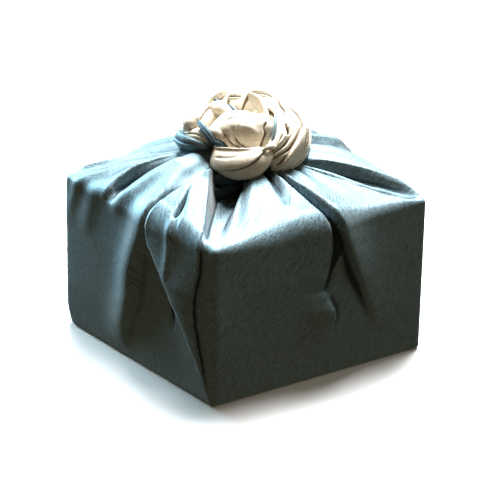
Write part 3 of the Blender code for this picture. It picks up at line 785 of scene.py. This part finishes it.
@dataclass(frozen=True)
class Satin:
    """The two-sided satin, with slubbed threads, a fine grain, a broad soft gloss and painted shade in
    creases.
    """

    # the last colour of each side is painted shade for creases and deep strands
    outer: Colours = Colours(
        (0.080, 0.118, 0.135), (0.205, 0.295, 0.335), (0.055, 0.08, 0.09), (0.014, 0.022, 0.028))
    reverse: Colours = Colours(
        (0.60, 0.54, 0.43), (0.72, 0.66, 0.54), (0.48, 0.40, 0.29), (0.13, 0.085, 0.045))
    # painted shade in creases: the range of hollowness over which it darkens the colour
    painted_shade_range: Pair = (0.03, 0.16)  # from where a crease darkens to where it is darkest
    gloss_tint: Triple = (0.52, 0.83, 1.0)
    gloss_index: float = 1.9
    metallic: float = 0.85
    roughness: Pair = (0.50, 0.66)
    sheen: float = 0.25
    sheen_roughness: float = 0.4
    # noise cells a metre, along and across the threads
    threads: Pair = (120.0, 750.0)
    speckles: Pair = (620.0, 620.0)
    slubs: Pair = (16.0, 620.0)
    grain_range: Pair = (0.36, 0.64)
    slub_range: Pair = (0.66, 0.76)
    slub_height: float = 0.4  # over the grain's
    relief: float = 0.0006  # in metres

    def grain_group(self) -> Tree:
        """Thread grain, speckle and slubs, from the place in the cut cloth in metres."""
        known = bpy.data.node_groups.get("satin threads")
        if known:
            return known
        group = bpy.data.node_groups.new("satin threads", "ShaderNodeTree")
        group.interface.new_socket("Threads", in_out="INPUT", socket_type="NodeSocketVector")
        for name in ("Grain", "Slub", "Height"):
            group.interface.new_socket(name, in_out="OUTPUT", socket_type="NodeSocketFloat")
        start, end = group.nodes.new("NodeGroupInput"), group.nodes.new("NodeGroupOutput")

        def noise(cells: Pair, detail: float) -> Socket:
            """Noise over the threads, at that many cells a metre along and across them."""
            inputs = {"Vector": start.outputs["Threads"], "Scale": (*cells, 1.0)}
            place = add_node(group, "ShaderNodeMapping", inputs).outputs["Vector"]
            inputs = {"Vector": place, "Scale": 1.0, "Detail": detail}
            return add_node(group, "ShaderNodeTexNoise", inputs).outputs["Fac"]

        def blend(kind: str, a: Socket, b: Socket | float) -> Socket:
            """One arithmetic step on two values."""
            node = add_node(group, "ShaderNodeMath", {0: a, 1: b})
            node.operation = kind
            return node.outputs[0]

        grain = blend("MULTIPLY", blend("ADD", noise(self.threads, 2.0), noise(self.speckles, 2.0)), 0.5)
        slub = remapped(group, noise(self.slubs, 1.0), self.slub_range, ZERO_TO_ONE)
        fill_inputs(group, end, {
            "Grain": remapped(group, grain, self.grain_range, ZERO_TO_ONE),
            "Slub": slub,
            "Height": blend("ADD", grain, blend("MULTIPLY", slub, self.slub_height)),
        })
        return group

    def build(self, side: Side) -> bpy.types.Material:
        """The finish of one side of the cloth: grain, then slubs over it, then painted shade in creases and
        in strands set deep in the rosette.

        The outer side is a tinted metal-like gloss, and the reverse is matt.

        Args:
            side: what the piece shows.

        Returns:
            The material.
        """
        made, tree, shader = new_finish("satin_" + side.value)
        threads = tree.nodes.new("ShaderNodeUVMap")
        threads.uv_map = "threads"
        group = tree.nodes.new("ShaderNodeGroup")
        group.node_tree = self.grain_group()
        fill_inputs(tree, group, {"Threads": threads.outputs["UV"]})
        # painted shade: the hollow attribute darkens the colour towards the hollow colour
        read = tree.nodes.new("ShaderNodeAttribute")
        read.attribute_name = "hollow"
        hollow = remapped(tree, read.outputs["Fac"], self.painted_shade_range, ZERO_TO_ONE, "SMOOTHSTEP")
        colours = self.outer if side is Side.OUTER else self.reverse
        colour = (*colours.shade, 1)
        layers = (
            (group.outputs["Grain"], colours.light), (group.outputs["Slub"], colours.slub),
            (hollow, colours.hollow),
        )
        for share, over in layers:
            mix = tree.nodes.new("ShaderNodeMix")
            mix.data_type = "RGBA"
            fill_inputs(tree, mix, {"Factor": share, 6: colour, 7: (*over, 1)})
            colour = mix.outputs[2]
        fill_inputs(tree, shader, {
            "Base Color": colour,
            "Roughness": remapped(tree, group.outputs["Grain"], ZERO_TO_ONE, self.roughness),
            "Normal": bump_normal(tree, group.outputs["Height"], 1.0, self.relief),
            "Sheen Weight": self.sheen,
            "Sheen Roughness": self.sheen_roughness,
        })
        if side is Side.OUTER:
            fill_inputs(tree, shader, {
                "Metallic": self.metallic,
                "IOR": self.gloss_index,
                "Specular IOR Level": 1.0,
                "Specular Tint": (*self.gloss_tint, 1),
            })
        return made


def board_finish() -> bpy.types.Material:
    """Plain brown-grey board for the box: pressed fibres in its colour, roughness and relief."""
    made, tree, shader = new_finish("board")
    place = tree.nodes.new("ShaderNodeTexCoord").outputs["Object"]
    inputs = {"Vector": place, "Scale": 420.0, "Detail": 6.0}
    fibres = add_node(tree, "ShaderNodeTexNoise", inputs).outputs["Fac"]
    ramp = add_node(tree, "ShaderNodeValToRGB", {"Fac": fibres})
    ramp.color_ramp.elements[0].color = (0.30, 0.24, 0.18, 1)
    ramp.color_ramp.elements[1].color = (0.50, 0.42, 0.33, 1)
    fill_inputs(tree, shader, {
        "Base Color": ramp.outputs["Color"],
        "Roughness": remapped(tree, fibres, ZERO_TO_ONE, (0.70, 0.90)),
        "Normal": bump_normal(tree, fibres, 0.3, 0.2 * MM),
    })
    return made


@dataclass
class Studio:
    """A pale floor, soft lights and the camera at the photo's angle."""

    side: float = 0.250  # what the camera was fitted to, in metres
    yaw: float = -0.643
    pitch: float = 0.362
    roll: float = 0.021
    distance: float = 9.796  # in box widths
    aim: Pair = (0.604, 0.787)
    focal_pixels: float = 2226.33
    image_pixels: int = 492
    sensor: float = 36.0
    floor_width: float = 8.0
    floor_drop: float = 0.5 * MM
    floor_colour: Triple = (0.86, 0.88, 0.91)
    floor_roughness: float = 0.9
    air_colour: Triple = (1.0, 0.76, 0.44)
    air_strength: float = 0.16
    lit_height: float = 0.12  # where the lights aim, in metres up
    lights: tuple[tuple[str, Triple, float, float, Triple], ...] = (
        # name, place and width in metres, watts, colour
        ("key", (0.60, 0.60, 1.75), 1.2, 190, (1.0, 1.0, 1.0)),
        ("left rim", (-0.28, 1.8, 0.65), 0.5, 56, (0.66, 0.90, 1.0)),
        ("right fill", (2.0, -1.1, 0.9), 1.0, 8, (1.0, 0.97, 0.9)),
    )

    def camera(self) -> None:
        """The fitted camera: it looks at the aim from the yaw and pitch, then rolls."""
        back = np.array([
            math.sin(self.yaw) * math.cos(self.pitch),
            -math.cos(self.yaw) * math.cos(self.pitch),
            math.sin(self.pitch),
        ])
        eye = np.array([*self.aim, 0.0]) * self.side + back * self.distance * self.side
        right = unit(np.cross(-back, (0, 0, 1)))
        up = np.cross(right, -back)
        rolled_right = right * math.cos(self.roll) + up * math.sin(self.roll)
        rolled_up = up * math.cos(self.roll) - right * math.sin(self.roll)
        lens = bpy.data.cameras.new("camera")
        lens.sensor_width = self.sensor
        lens.lens = self.focal_pixels / self.image_pixels * self.sensor
        made = put_in_scene("camera", lens)
        made.matrix_world = Matrix((*zip(rolled_right, rolled_up, back, eye), (0, 0, 0, 1)))
        bpy.context.scene.camera = made

    def light(self, name: str, where: Triple, size: float, power: float, colour: Triple) -> None:
        """A square soft light that faces the middle of the wrap.

        Args:
            name: of the light.
            where: its place in metres.
            size: its width in metres.
            power: in watts.
            colour: of its light.
        """
        lamp = bpy.data.lights.new(name, "AREA")
        lamp.size = size
        lamp.energy = power
        lamp.color = colour
        made = put_in_scene(name, lamp)
        made.location = where
        ahead = Vector((0, 0, self.lit_height)) - Vector(where)
        made.rotation_euler = ahead.to_track_quat("-Z", "Y").to_euler()

    def build(self) -> None:
        """Floor, lights, world and camera."""
        bpy.ops.mesh.primitive_plane_add(size=self.floor_width, location=(0, 0, -self.floor_drop))
        floor = bpy.context.object
        floor.name = "floor"
        paper, tree, shader = new_finish("floor")
        colour = (*self.floor_colour, 1)
        fill_inputs(tree, shader, {"Base Color": colour, "Roughness": self.floor_roughness})
        floor.data.materials.append(paper)
        floor.visible_glossy = False
        floor.visible_diffuse = False
        world = bpy.data.worlds.new("studio")
        world.use_nodes = True
        air = world.node_tree.nodes["Background"]
        colour = (*self.air_colour, 1)
        fill_inputs(world.node_tree, air, {"Color": colour, "Strength": self.air_strength})
        bpy.context.scene.world = world
        for light in self.lights:
            self.light(*light)
        bpy.context.scene.view_settings.view_transform = "Standard"
        self.camera()


WRAPPED = Wrapped()
ROOF_SHARES = (0.0, 0.12, 0.30, 0.60, 1.0)  # of the way in to the neck
ROOF_SECTIONS = (
    # around, lift in mm at 0.12, at 0.30, at 0.60, at the neck
    (0.000, 0, 0, 0, 4), (0.012, 0, 0, 1, 6), (0.026, 1, 4, 14, 24), (0.055, 4, 12, 23, 31),
    (0.100, 6, 15, 26, 33), (0.160, 6, 15, 26, 33), (0.215, 5, 13, 23, 31), (0.238, 4, 9, 17, 26),
    (0.250, 2, 6, 15, 30), (0.266, 12, 19, 28, 34), (0.330, 18, 27, 34, 37), (0.400, 18, 27, 34, 37),
    (0.470, 11, 18, 28, 36), (0.500, 3, 9, 19, 33), (0.530, 9, 17, 28, 37), (0.600, 11, 21, 32, 38),
    (0.680, 10, 20, 31, 38), (0.732, 6, 13, 24, 36), (0.750, 3, 8, 18, 33), (0.768, 5, 12, 23, 36),
    (0.830, 8, 18, 32, 43), (0.900, 8, 18, 32, 43), (0.955, 7, 16, 30, 42), (0.976, 6, 15, 28, 42),
    (0.988, 0, 1, 2, 6),
)
# the gap's hems: metres along the meridian, metres round the box
GAP_LEFT_HEM = ((0.000, -0.003), (0.150, -0.019), (0.175, -0.028), (0.201, -0.045), (0.240, -0.110))
GAP_RIGHT_HEM = ((0.000, 0.006), (0.150, 0.002), (0.195, 0.002), (0.218, 0.010), (0.240, 0.034))
FOLDS = (
    Fold("left overlap", 3.0, 46, (
        (4, -2, 0), (17, -5, 2.5), (42, -16, 4.5), (64, -26, 6.5), (83, -36, 9), (96, -45, 11),
        (108, -54, 12), (122, -69, 12), (135, -83, 11.5), (150, -90, 10.5), (165, -87, 10), (179, -81, 9),
        (195, -70, 6.5), (215, -66, 3), (240, -80, 0)), lean=-6),
    Fold("left panel swell", 20, 24, (
        (20, -26, 0), (55, -30, 1.5), (85, -34, 2), (108, -40, 1.5), (130, -44, 1), (152, -48, 0))),
    Fold("left soft ridge", 24, 11, (
        (4, -146, 0), (24, -146, 3), (45, -136, 6.5), (69, -126, 9.5), (95, -121, 11), (120, -115, 10.5),
        (138, -109, 10), (155, -104, 9.5), (172, -108, 8.5), (199, -112, 6.5), (213, -107, 4),
        (238, -100, 0))),
    Fold("left hollow", 4.5, 4, (
        (50, -58, 0), (80, -64, -3), (103, -78, -5), (130, -94, -8), (150, -97, -11), (166, -95, -12),
        (183, -88, -13), (200, -76, -12), (215, -75, -8), (235, -85, 0))),
    Fold("left bright band", 10, 13, (
        (136, -160, 0), (152, -157, 3), (162, -150, 6), (177, -145, 7.5), (199, -145, 7), (215, -140, 5),
        (236, -130, 0))),
    Fold("left deep trough", 6.5, 7, (
        (148, -172, 0), (157, -174, -5), (167, -177, -12), (181, -181, -15), (198, -183, -14),
        (216, -184, -9), (238, -178, 0))),
    Fold("left trough rim", 9, 3.5, (
        (148, -179, 0), (157, -182, 3), (170, -189, 6), (185, -197, 6.5), (205, -204, 4.5),
        (232, -205, 0)), crest=1.5, lean=3),
    Fold("far left band", 9, 10, (
        (100, -244, 0), (120, -240, 1), (140, -232, 2), (154, -226, 3.5), (168, -222, 4.5),
        (184, -226, 4), (207, -234, 2.5), (232, -236, 0))),
    Fold("far left patch", 14, 12, ((98, -214, 0), (126, -206, 2), (150, -200, 2.5), (168, -199, 0))),
    Fold("strip edge", 2.2, 13, (
        (150, -49, 0), (163, -52, 4), (178, -57, 5.5), (191, -62, 5), (205, -69, 3),
        (228, -88, 0)), crest=1.6, lean=-2.5),
    Fold("strip slit", 2.8, 1.7, (
        (156, -62, 0), (161, -61, -9), (170, -61, -14), (181, -62, -12), (190, -64, -4), (198, -67, 0))),
    Fold("strip pucker", 5, 3.5, (
        (104, -50, 0), (122, -52, 1.6), (138, -55, 2.6), (150, -59, 2.5), (160, -63, 0))),
    Fold("corner panel edge", 30, 1, (
        (2, -3, 0), (12, -5, 2), (36, -8, 2.5), (74, -14, 3), (102, -17, 3), (153, -22, 2.5),
        (170, -26, 1.5), (200, -40, 0)), lean=2),
    Fold("front ridge", 5, 24, (
        (30, 194, 0), (50, 187, 2.5), (69, 179, 4.5), (86, 171, 6.5), (103, 162, 9), (126, 153, 11),
        (142, 146, 12), (155, 140, 12.5), (168, 135, 11), (180, 132, 9), (205, 128, 5),
        (238, 124, 0)), crest=1.5, lean=-3),
    Fold("front left swell", 30, 7, (
        (92, 120, 0), (110, 124, 2.5), (135, 128, 4.5), (152, 126, 6), (170, 118, 6), (200, 108, 4),
        (238, 106, 0))),
    Fold("front trough", 5, 3.5, (
        (82, 127, 0), (103, 132, -3), (119, 138, -5), (134, 141, -7), (147, 139, -9), (157, 136, -10),
        (172, 131, -10), (188, 126, -9), (205, 120, -6), (228, 116, 0))),
    Fold("front dimple", 24, 5, (
        (36, 130, 0), (52, 131, 4.5), (63, 132, 8.5), (71, 130, 9.5), (81, 126, 3), (92, 122, 0))),
    Fold("front neck valley", 5, 8, (
        (160, 95, 0), (182, 93, -3.5), (205, 94, -6), (222, 97, -7), (243, 101, -4))),
    Fold("right dent", 5, 7, (
        (154, 246, 0), (162, 241, -3), (173, 233, -4.5), (184, 222, -3), (194, 210, 0))),
    Fold("right corner neck fold 1", 3, 5, (
        (165, 228, 0), (185, 222, -3), (205, 216, -5), (225, 214, -5), (243, 214, -2))),
    Fold("right corner neck fold 2", 3, 5, (
        (180, 240, 0), (200, 238, -4), (222, 238, -6), (243, 238, -2))),
    Fold("right corner rib", 4, 5, (
        (150, 258, 0), (165, 260, 3), (190, 262, 4.5), (215, 262, 4), (238, 260, 0))),
    Fold("right face ridge", 6, 26, (
        (20, 318, 0), (45, 330, 4), (80, 345, 8), (115, 358, 10.5), (158, 368, 10), (195, 372, 6),
        (238, 375, 0)), lean=-2),
    Fold("right face second", 24, 6, (
        (45, 458, 0), (70, 452, 4), (100, 442, 7), (130, 432, 9), (158, 424, 8), (200, 408, 5),
        (238, 398, 0)), lean=2),
    Fold("right face trough", 8, 8, (
        (80, 398, 0), (110, 396, -3), (158, 394, -7), (205, 388, -5), (238, 385, 0))),
    Fold("back ridge", 5, 28, (
        (10, 550, 0), (40, 570, 4.5), (80, 590, 8.5), (120, 606, 11), (158, 617, 10), (198, 620, 6),
        (238, 622, 0)), lean=-2.5),
    Fold("back second", 20, 8, (
        (60, 705, 0), (90, 694, 5), (125, 682, 8), (158, 672, 8), (200, 655, 5), (238, 645, 0))),
    Fold("back trough", 9, 6, (
        (90, 652, 0), (120, 648, -3), (158, 645, -6.5), (205, 638, -5), (238, 635, 0))),
    Fold("right corner tuck", 28, 2.5, (
        (4, 499, 0), (30, 494, 3.5), (70, 487, 5.5), (120, 480, 7), (158, 474, 5),
        (205, 468, 0)), lean=2),
    Fold("left corner tuck", 24, 3, (
        (6, 748, 0), (40, 742, 2), (100, 735, 3.5), (158, 730, 4.5), (205, 726, 0)), lean=2),
)
# painted shade darkens the strands that lie deep in the rosette, by the amount each gives
STRANDS = (
    Strand("right_lobe", (
        (22, -42, 194, 8, 12), (33, -33, 199, 16, 18), (42, -16, 205, 20, 22), (44, 4, 210, 19, 22),
        (40, 24, 215, 18, 20), (26, 39, 217, 16, 17), (8, 45, 218, 8, 11)),
        folds=(
            Fold("lower facet edge", 20, 2, (
                (0.02, -12, 0), (0.07, -4, 3), (0.17, 25, 4), (0.27, 39, 3.5), (0.36, 49, 2.5),
                (0.42, 56, 0))),
            Fold("outer rim", 13, 2, (
                (0.26, 12, 0), (0.31, 24, 2.5), (0.36, 44, 3.5), (0.47, 70, 3.5), (0.59, 90, 3),
                (0.70, 104, 0))),
            Fold("middle crease", 3, 5, (
                (0.00, 27, 0), (0.06, 29, -2.5), (0.16, 34, -3), (0.23, 42, -2.5), (0.31, 52, -1.5),
                (0.38, 60, 0))),
            Fold("upper crease", 2.5, 6, (
                (0.00, 50, 0), (0.06, 49, -3), (0.16, 54, -3.5), (0.24, 61, -2.5), (0.33, 70, 0))),
            Fold("crease to the hole", 3, 9, (
                (0.01, 52, 0), (0.06, 60, -2.5), (0.16, 78, -4), (0.22, 86, -4.5), (0.28, 90, -3),
                (0.34, 96, 0))),
            Fold("hole", 7, 5, (
                (0.22, 74, 0), (0.26, 75, -5), (0.29, 81, -9), (0.31, 88, -8), (0.34, 97, -3),
                (0.38, 101, 0))),
            Fold("roll by the hole", 5, 5, (
                (0.06, 64, 0), (0.14, 67, 2.5), (0.20, 72, 3), (0.26, 70, 2.5), (0.34, 76, 0))),
            Fold("top crease", 2.5, 8, (
                (0.45, 118, 0), (0.55, 112, -3), (0.72, 112, -3), (0.79, 90, -2.5), (0.86, 70, 0))),
            Fold("outer crease 1", 3, 12, ((0.28, 0, 0), (0.45, 14, -3), (0.70, 34, -3), (0.92, 44, 0))),
            Fold("outer crease 2", 3, 14, (
                (0.10, -50, 0), (0.35, -30, -3), (0.62, -16, -3.5), (0.90, 4, 0))),
            Fold("outer crease 3", 12, 3, (
                (0.50, 60, 0), (0.65, 66, -2.5), (0.80, 62, -3), (0.95, 60, 0))),
            Fold("inner crease", 3, 14, (
                (0.15, 140, 0), (0.40, 160, -3), (0.75, 150, -3), (0.95, 140, 0))))),
    Strand("back_lobe", (
        (34, 29, 213, 7, 9), (20, 40, 217, 16, 17), (0, 45, 219, 19, 20), (-20, 39, 217, 18, 19),
        (-36, 26, 211, 9, 11)),
        folds=(
            Fold("twist 1", 22, 2.5, (
                (0.08, 10, 0), (0.25, 60, 4), (0.45, 110, 4), (0.62, 160, 3), (0.75, 190, 0))),
            Fold("twist 2", 26, 2.5, (
                (0.30, 20, 0), (0.45, 50, 4), (0.65, 95, 4.5), (0.82, 140, 3), (0.92, 170, 0))),
            Fold("twist 3", 24, 3, ((0.02, 100, 0), (0.12, 130, 4), (0.30, 170, 4), (0.45, 210, 0))),
            Fold("twist 4", 20, 3, ((0.10, -60, 0), (0.30, -20, 3.5), (0.55, 15, 4), (0.80, 50, 0))),
            Fold("fine crease 1", 3, 8, ((0.15, 60, 0), (0.35, 100, -2), (0.55, 150, 0))),
            Fold("fine crease 2", 3, 8, ((0.50, 40, 0), (0.68, 75, -2.5), (0.85, 120, 0))))),
    Strand("back_fold", (
        (-8, 46, 232, 4, 5), (2, 42, 231, 8, 8), (12, 34, 227, 8, 9), (18, 22, 220, 5, 6),
        (19, 12, 214, 3, 4)),
        folds=(
            Fold("hem", 18, 2, ((0.0, 40, 0), (0.2, 60, 2.5), (0.6, 80, 3), (1.0, 90, 0))),
            Fold("crease", 3, 8, ((0.1, 110, 0), (0.4, 120, -1.8), (0.8, 110, 0))))),
    Strand("back_loop", (
        (-40, 20, 222, 3, 3), (-32, 24, 225, 7, 6), (-23, 21, 227, 7, 6), (-15, 12, 225, 4, 4)),
        folds=(
            Fold("hem", 16, 2, ((0.0, 60, 0), (0.3, 80, 2), (0.7, 100, 2), (1.0, 110, 0))),)),
    Strand("back_left_fold", (
        (-36, 32, 228, 3, 4), (-31, 34, 230, 5, 6.5), (-22, 37, 231.5, 8, 9), (-12, 40, 232.5, 9.5, 9.5),
        (-3, 41, 231, 9, 9), (4, 40, 227, 5, 5)),
        folds=(
            Fold("hem", 18, 2, ((0.0, 60, 0), (0.3, 80, 2), (0.7, 90, 2), (1.0, 100, 0))),
            Fold("crease", 3, 8, ((0.2, 20, 0), (0.5, 30, -1.8), (0.8, 20, 0))))),
    Strand("back_blue_hem", (
        (-32.3, 32, 234.6, 1.2, 1.4), (-25.9, 28.3, 231.7, 1.3, 2), (-18, 28.3, 229, 1.3, 2.2),
        (-10.8, 20, 226.2, 1.4, 2.4), (-8, 11, 225.6, 1.2, 1.6)), side=Side.OUTER, painted_shade=0.06, sides=24),
    Strand("left_puff", (
        (-22, 38, 214, 8, 9), (-36, 28, 214.5, 13, 14), (-46, 12, 216, 13, 14.5),
        (-50, -2, 219, 11.5, 12.5), (-52, -10, 218.5, 8.5, 9), (-53, -15, 217.5, 3, 3.5)),
        folds=(
            Fold("fold 1", 3, 14, ((0.10, 10, 0), (0.30, 30, -3), (0.60, 60, -3), (0.90, 70, 0))),
            Fold("fold 2", 18, 3, ((0.05, 100, 0), (0.30, 110, 3), (0.60, 130, 3), (0.90, 140, 0))),
            Fold("fold 3", 3, 16, ((0.05, -50, 0), (0.30, -30, -3), (0.60, -20, -2.5), (0.85, 0, 0))))),
    Strand("left_band", (
        (-58, 4, 204.5, 4, 4), (-51, -10, 208.5, 8, 8), (-41.5, -20, 211.5, 9, 8.5),
        (-32.5, -28, 211, 7, 6.5), (-28, -32, 208.2, 3, 3)),
        folds=(
            Fold("crease", 3, 9, ((0.1, 20, 0), (0.35, 30, -1.6), (0.8, 20, 0))),)),
    Strand("left_blue_fold", (
        (-44.5, -18, 226, 2, 2), (-39.4, -27, 222, 3.2, 4), (-34.3, -33, 216.5, 3.5, 4.5),
        (-28.2, -37, 209, 3, 3)),
        side=Side.OUTER, painted_shade=0.12, sides=48, folds=(
            Fold("hem", 30, 8, ((0.0, 10, 0), (0.3, 20, 1), (0.8, 20, 1), (1.0, 10, 0))),)),
    Strand("left_lens", (
        (-37, -22, 220.5, 2.5, 2.5), (-29, -29, 218, 5, 6), (-21.7, -30, 213.5, 5, 6),
        (-14.5, -30, 207, 3, 3.5)), painted_shade=0.06, sides=64),
    # blue satin pleats, made dark by painted shade
    Strand("left_pleats_in_painted_shade", (
        (-36.3, -30, 216, 2.5, 2.5), (-30, -33.5, 211, 4.5, 5), (-22.5, -34, 207, 4.5, 5.5),
        (-13, -33, 204, 3, 3)),
        side=Side.OUTER, painted_shade=0.13, sides=72, folds=(
            Fold("pleat 1", 18, 4, ((0.0, 30, 0), (0.3, 35, 1.3), (0.7, 40, 1.3), (1.0, 40, 0))),
            Fold("pleat 2", 18, 4, ((0.0, -10, 0), (0.3, -5, 1.3), (0.7, 0, 1.3), (1.0, 0, 0))))),
    Strand("outer_flap", (
        (-55, 22, 198, 5, 5), (-60, 8, 202, 8, 8), (-58, -8, 204, 9, 8), (-50, -20, 205, 9, 6.5),
        (-34, -32, 207, 6, 4)),
        side=Side.OUTER, folds=(
            Fold("hem", 24, 5, ((0.2, 60, 0), (0.45, 62, 2.5), (0.8, 60, 2), (1.0, 50, 0))),
            Fold("crease", 5, 12, ((0.3, 10, 0), (0.6, 14, -1.6), (0.95, 10, 0))))),
    Strand("front_lip", (
        (-29.5, -36, 198, 4, 10.5), (-21, -43, 196, 10, 12.5), (-7, -49, 195, 13, 14.5),
        (6, -50, 196, 13, 14), (18, -44, 201, 10, 9.5), (24, -37, 206.5, 5, 4.5)),
        folds=(
            Fold("upper layer", 1.6, 46, (
                (0.00, -30, 2), (0.12, -26, 2.8), (0.22, -20, 3.4), (0.34, -6, 4), (0.45, 3, 4),
                (0.55, 15, 3.6), (0.65, 34, 2.8), (0.77, 56, 1.5), (0.93, 74, 0))),
            Fold("top hem", 5, 2, (
                (0.00, 66, 2), (0.24, 76, 3), (0.45, 78, 3), (0.63, 83, 2.5), (0.77, 94, 2),
                (0.95, 101, 0.5))),
            Fold("diagonal crease", 4, 8, (
                (0.12, 20, 0), (0.22, 26, -0.8), (0.40, 40, -0.8), (0.50, 55, 0))),
            Fold("lower hem", 4, 22, (
                (0.10, -66, 0), (0.25, -60, 1), (0.5, -50, 1.4), (0.75, -20, 1), (0.9, 20, 0))))),
    Strand("lip_curl", (
        (16, -52, 210, 1.2, 1.2), (20.5, -50, 211.5, 2, 2.2), (25, -46, 212, 2.8, 3),
        (27.5, -41, 209, 2.6, 3), (25.5, -38, 204, 2, 2)),
        sides=48, folds=(
            Fold("rolled edge", 30, 10, ((0.0, 80, 0), (0.3, 100, 0.8), (0.8, 160, 0.8), (1.0, 180, 0))),)),
    Strand("bud", (
        (2, -16, 184, 15, 14), (1, -14, 199, 28, 25), (-2, -11, 212, 33, 29), (-4, -8, 223, 30, 27),
        (-5, -6, 230, 20, 18), (-5, -5, 234, 6, 6)),
        folds=(
            Fold("crease 1", 2.2, 7, (
                (0.16, 85, 0), (0.24, 88, -2.2), (0.35, 92, -2.2), (0.50, 94, -1.8), (0.64, 92, -1),
                (0.83, 90, 0))),
            Fold("crease 2", 2.2, 5, (
                (0.16, 88, 0), (0.25, 92, -2), (0.36, 99, -2.2), (0.49, 103, -1.6), (0.62, 105, 0))),
            Fold("crease 3", 2.2, 6, (
                (0.16, 90, 0), (0.24, 96, -2), (0.33, 108, -2.2), (0.44, 117, -1.8), (0.55, 124, 0))),
            Fold("facet ridge", 9, 9, (
                (0.20, 78, 0), (0.28, 68, 1.2), (0.41, 66, 1.6), (0.50, 73, 1.4), (0.63, 86, 0))),
            Fold("crease 4", 9, 3.5, (
                (0.18, 62, 0), (0.25, 56, -2.5), (0.34, 47, -2.8), (0.49, 45, -2.4), (0.62, 29, 0))),
            Fold("top crease 1", 3, 10, (
                (0.62, 128, 0), (0.74, 112, -2), (0.85, 80, -1.5), (0.93, 60, 0))),
            Fold("back crease 1", 3, 16, (
                (0.15, 170, 0), (0.35, 190, -3), (0.60, 215, -3), (0.85, 240, 0))),
            Fold("back crease 2", 3, 16, (
                (0.15, 260, 0), (0.35, 280, -3), (0.60, 305, -3), (0.85, 330, 0))),
            Fold("back crease 3", 3, 14, ((0.20, -15, 0), (0.40, 0, -2.5), (0.62, 12, -2), (0.80, 30, 0))))),
    Strand("blue_tuck", (
        (28.8, -14, 232, 1.6, 2), (28.2, -23, 225, 1.8, 4.5), (26.6, -30, 216, 1.8, 5.5),
        (24, -36, 206.5, 1.6, 3)), side=Side.OUTER, sides=36),
    Strand("gap_inner_1", (
        (-33, -50, 184, 2, 3), (-22, -50, 178, 4, 6), (-9, -45, 177, 4, 6), (2, -38, 181, 3, 3)),
        side=Side.OUTER, painted_shade=0.12, sides=60, folds=(
            Fold("hem", 20, 5, ((0.0, 60, 0), (0.3, 70, 2), (0.8, 80, 2), (1.0, 90, 0))),)),
    Strand("gap_inner_2", (
        (-34, -60, 172, 2, 3), (-23, -56, 167, 4, 6), (-13, -50, 168, 4, 6), (-4, -42, 175, 3, 3)),
        side=Side.OUTER, painted_shade=0.12, sides=60, folds=(
            Fold("hem", 20, 5, ((0.0, 50, 0), (0.3, 66, 2), (0.8, 80, 2), (1.0, 90, 0))),)),
    Strand("lower_tie", (
        (-64, 6, 197, 14, 6), (-44, 8, 196, 42, 12), (-10, 8, 194, 58, 14), (30, 8, 190, 50, 13),
        (62, 4, 187, 14, 6)), (Layer(90, 120, 0.14, 40),), side=Side.OUTER, painted_shade=0.10),
)


def main() -> None:
    """Builds the sheet, the rosette and the studio, and says which body and node each stands for."""
    logging.basicConfig(level=logging.INFO, format="%(name)s: %(message)s")
    satin = Satin()
    cloth = DrawnCloth(WRAPPED, FOLDS, ROOF_SHARES, ROOF_SECTIONS, GAP_LEFT_HEM, GAP_RIGHT_HEM)
    body = cloth.build()
    body.data.materials.append(satin.build(Side.OUTER))
    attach(body, "root")
    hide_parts("wrap_cloth")
    log.info("sheet of %d points", len(body.data.vertices))
    finishes = {Side.OUTER: body.data.materials[0], Side.REVERSE: satin.build(Side.REVERSE)}
    rosette = Rosette()
    for strand in STRANDS:
        piece = rosette.build(strand)
        piece.data.materials.append(finishes[strand.side])
        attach(piece, "root")
        log.info("%s of %d points", piece.name, len(piece.data.vertices))
    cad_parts["gift_box"].material_slots[0].material = board_finish()
    Studio().build()


if __name__ == "__main__":
    main()
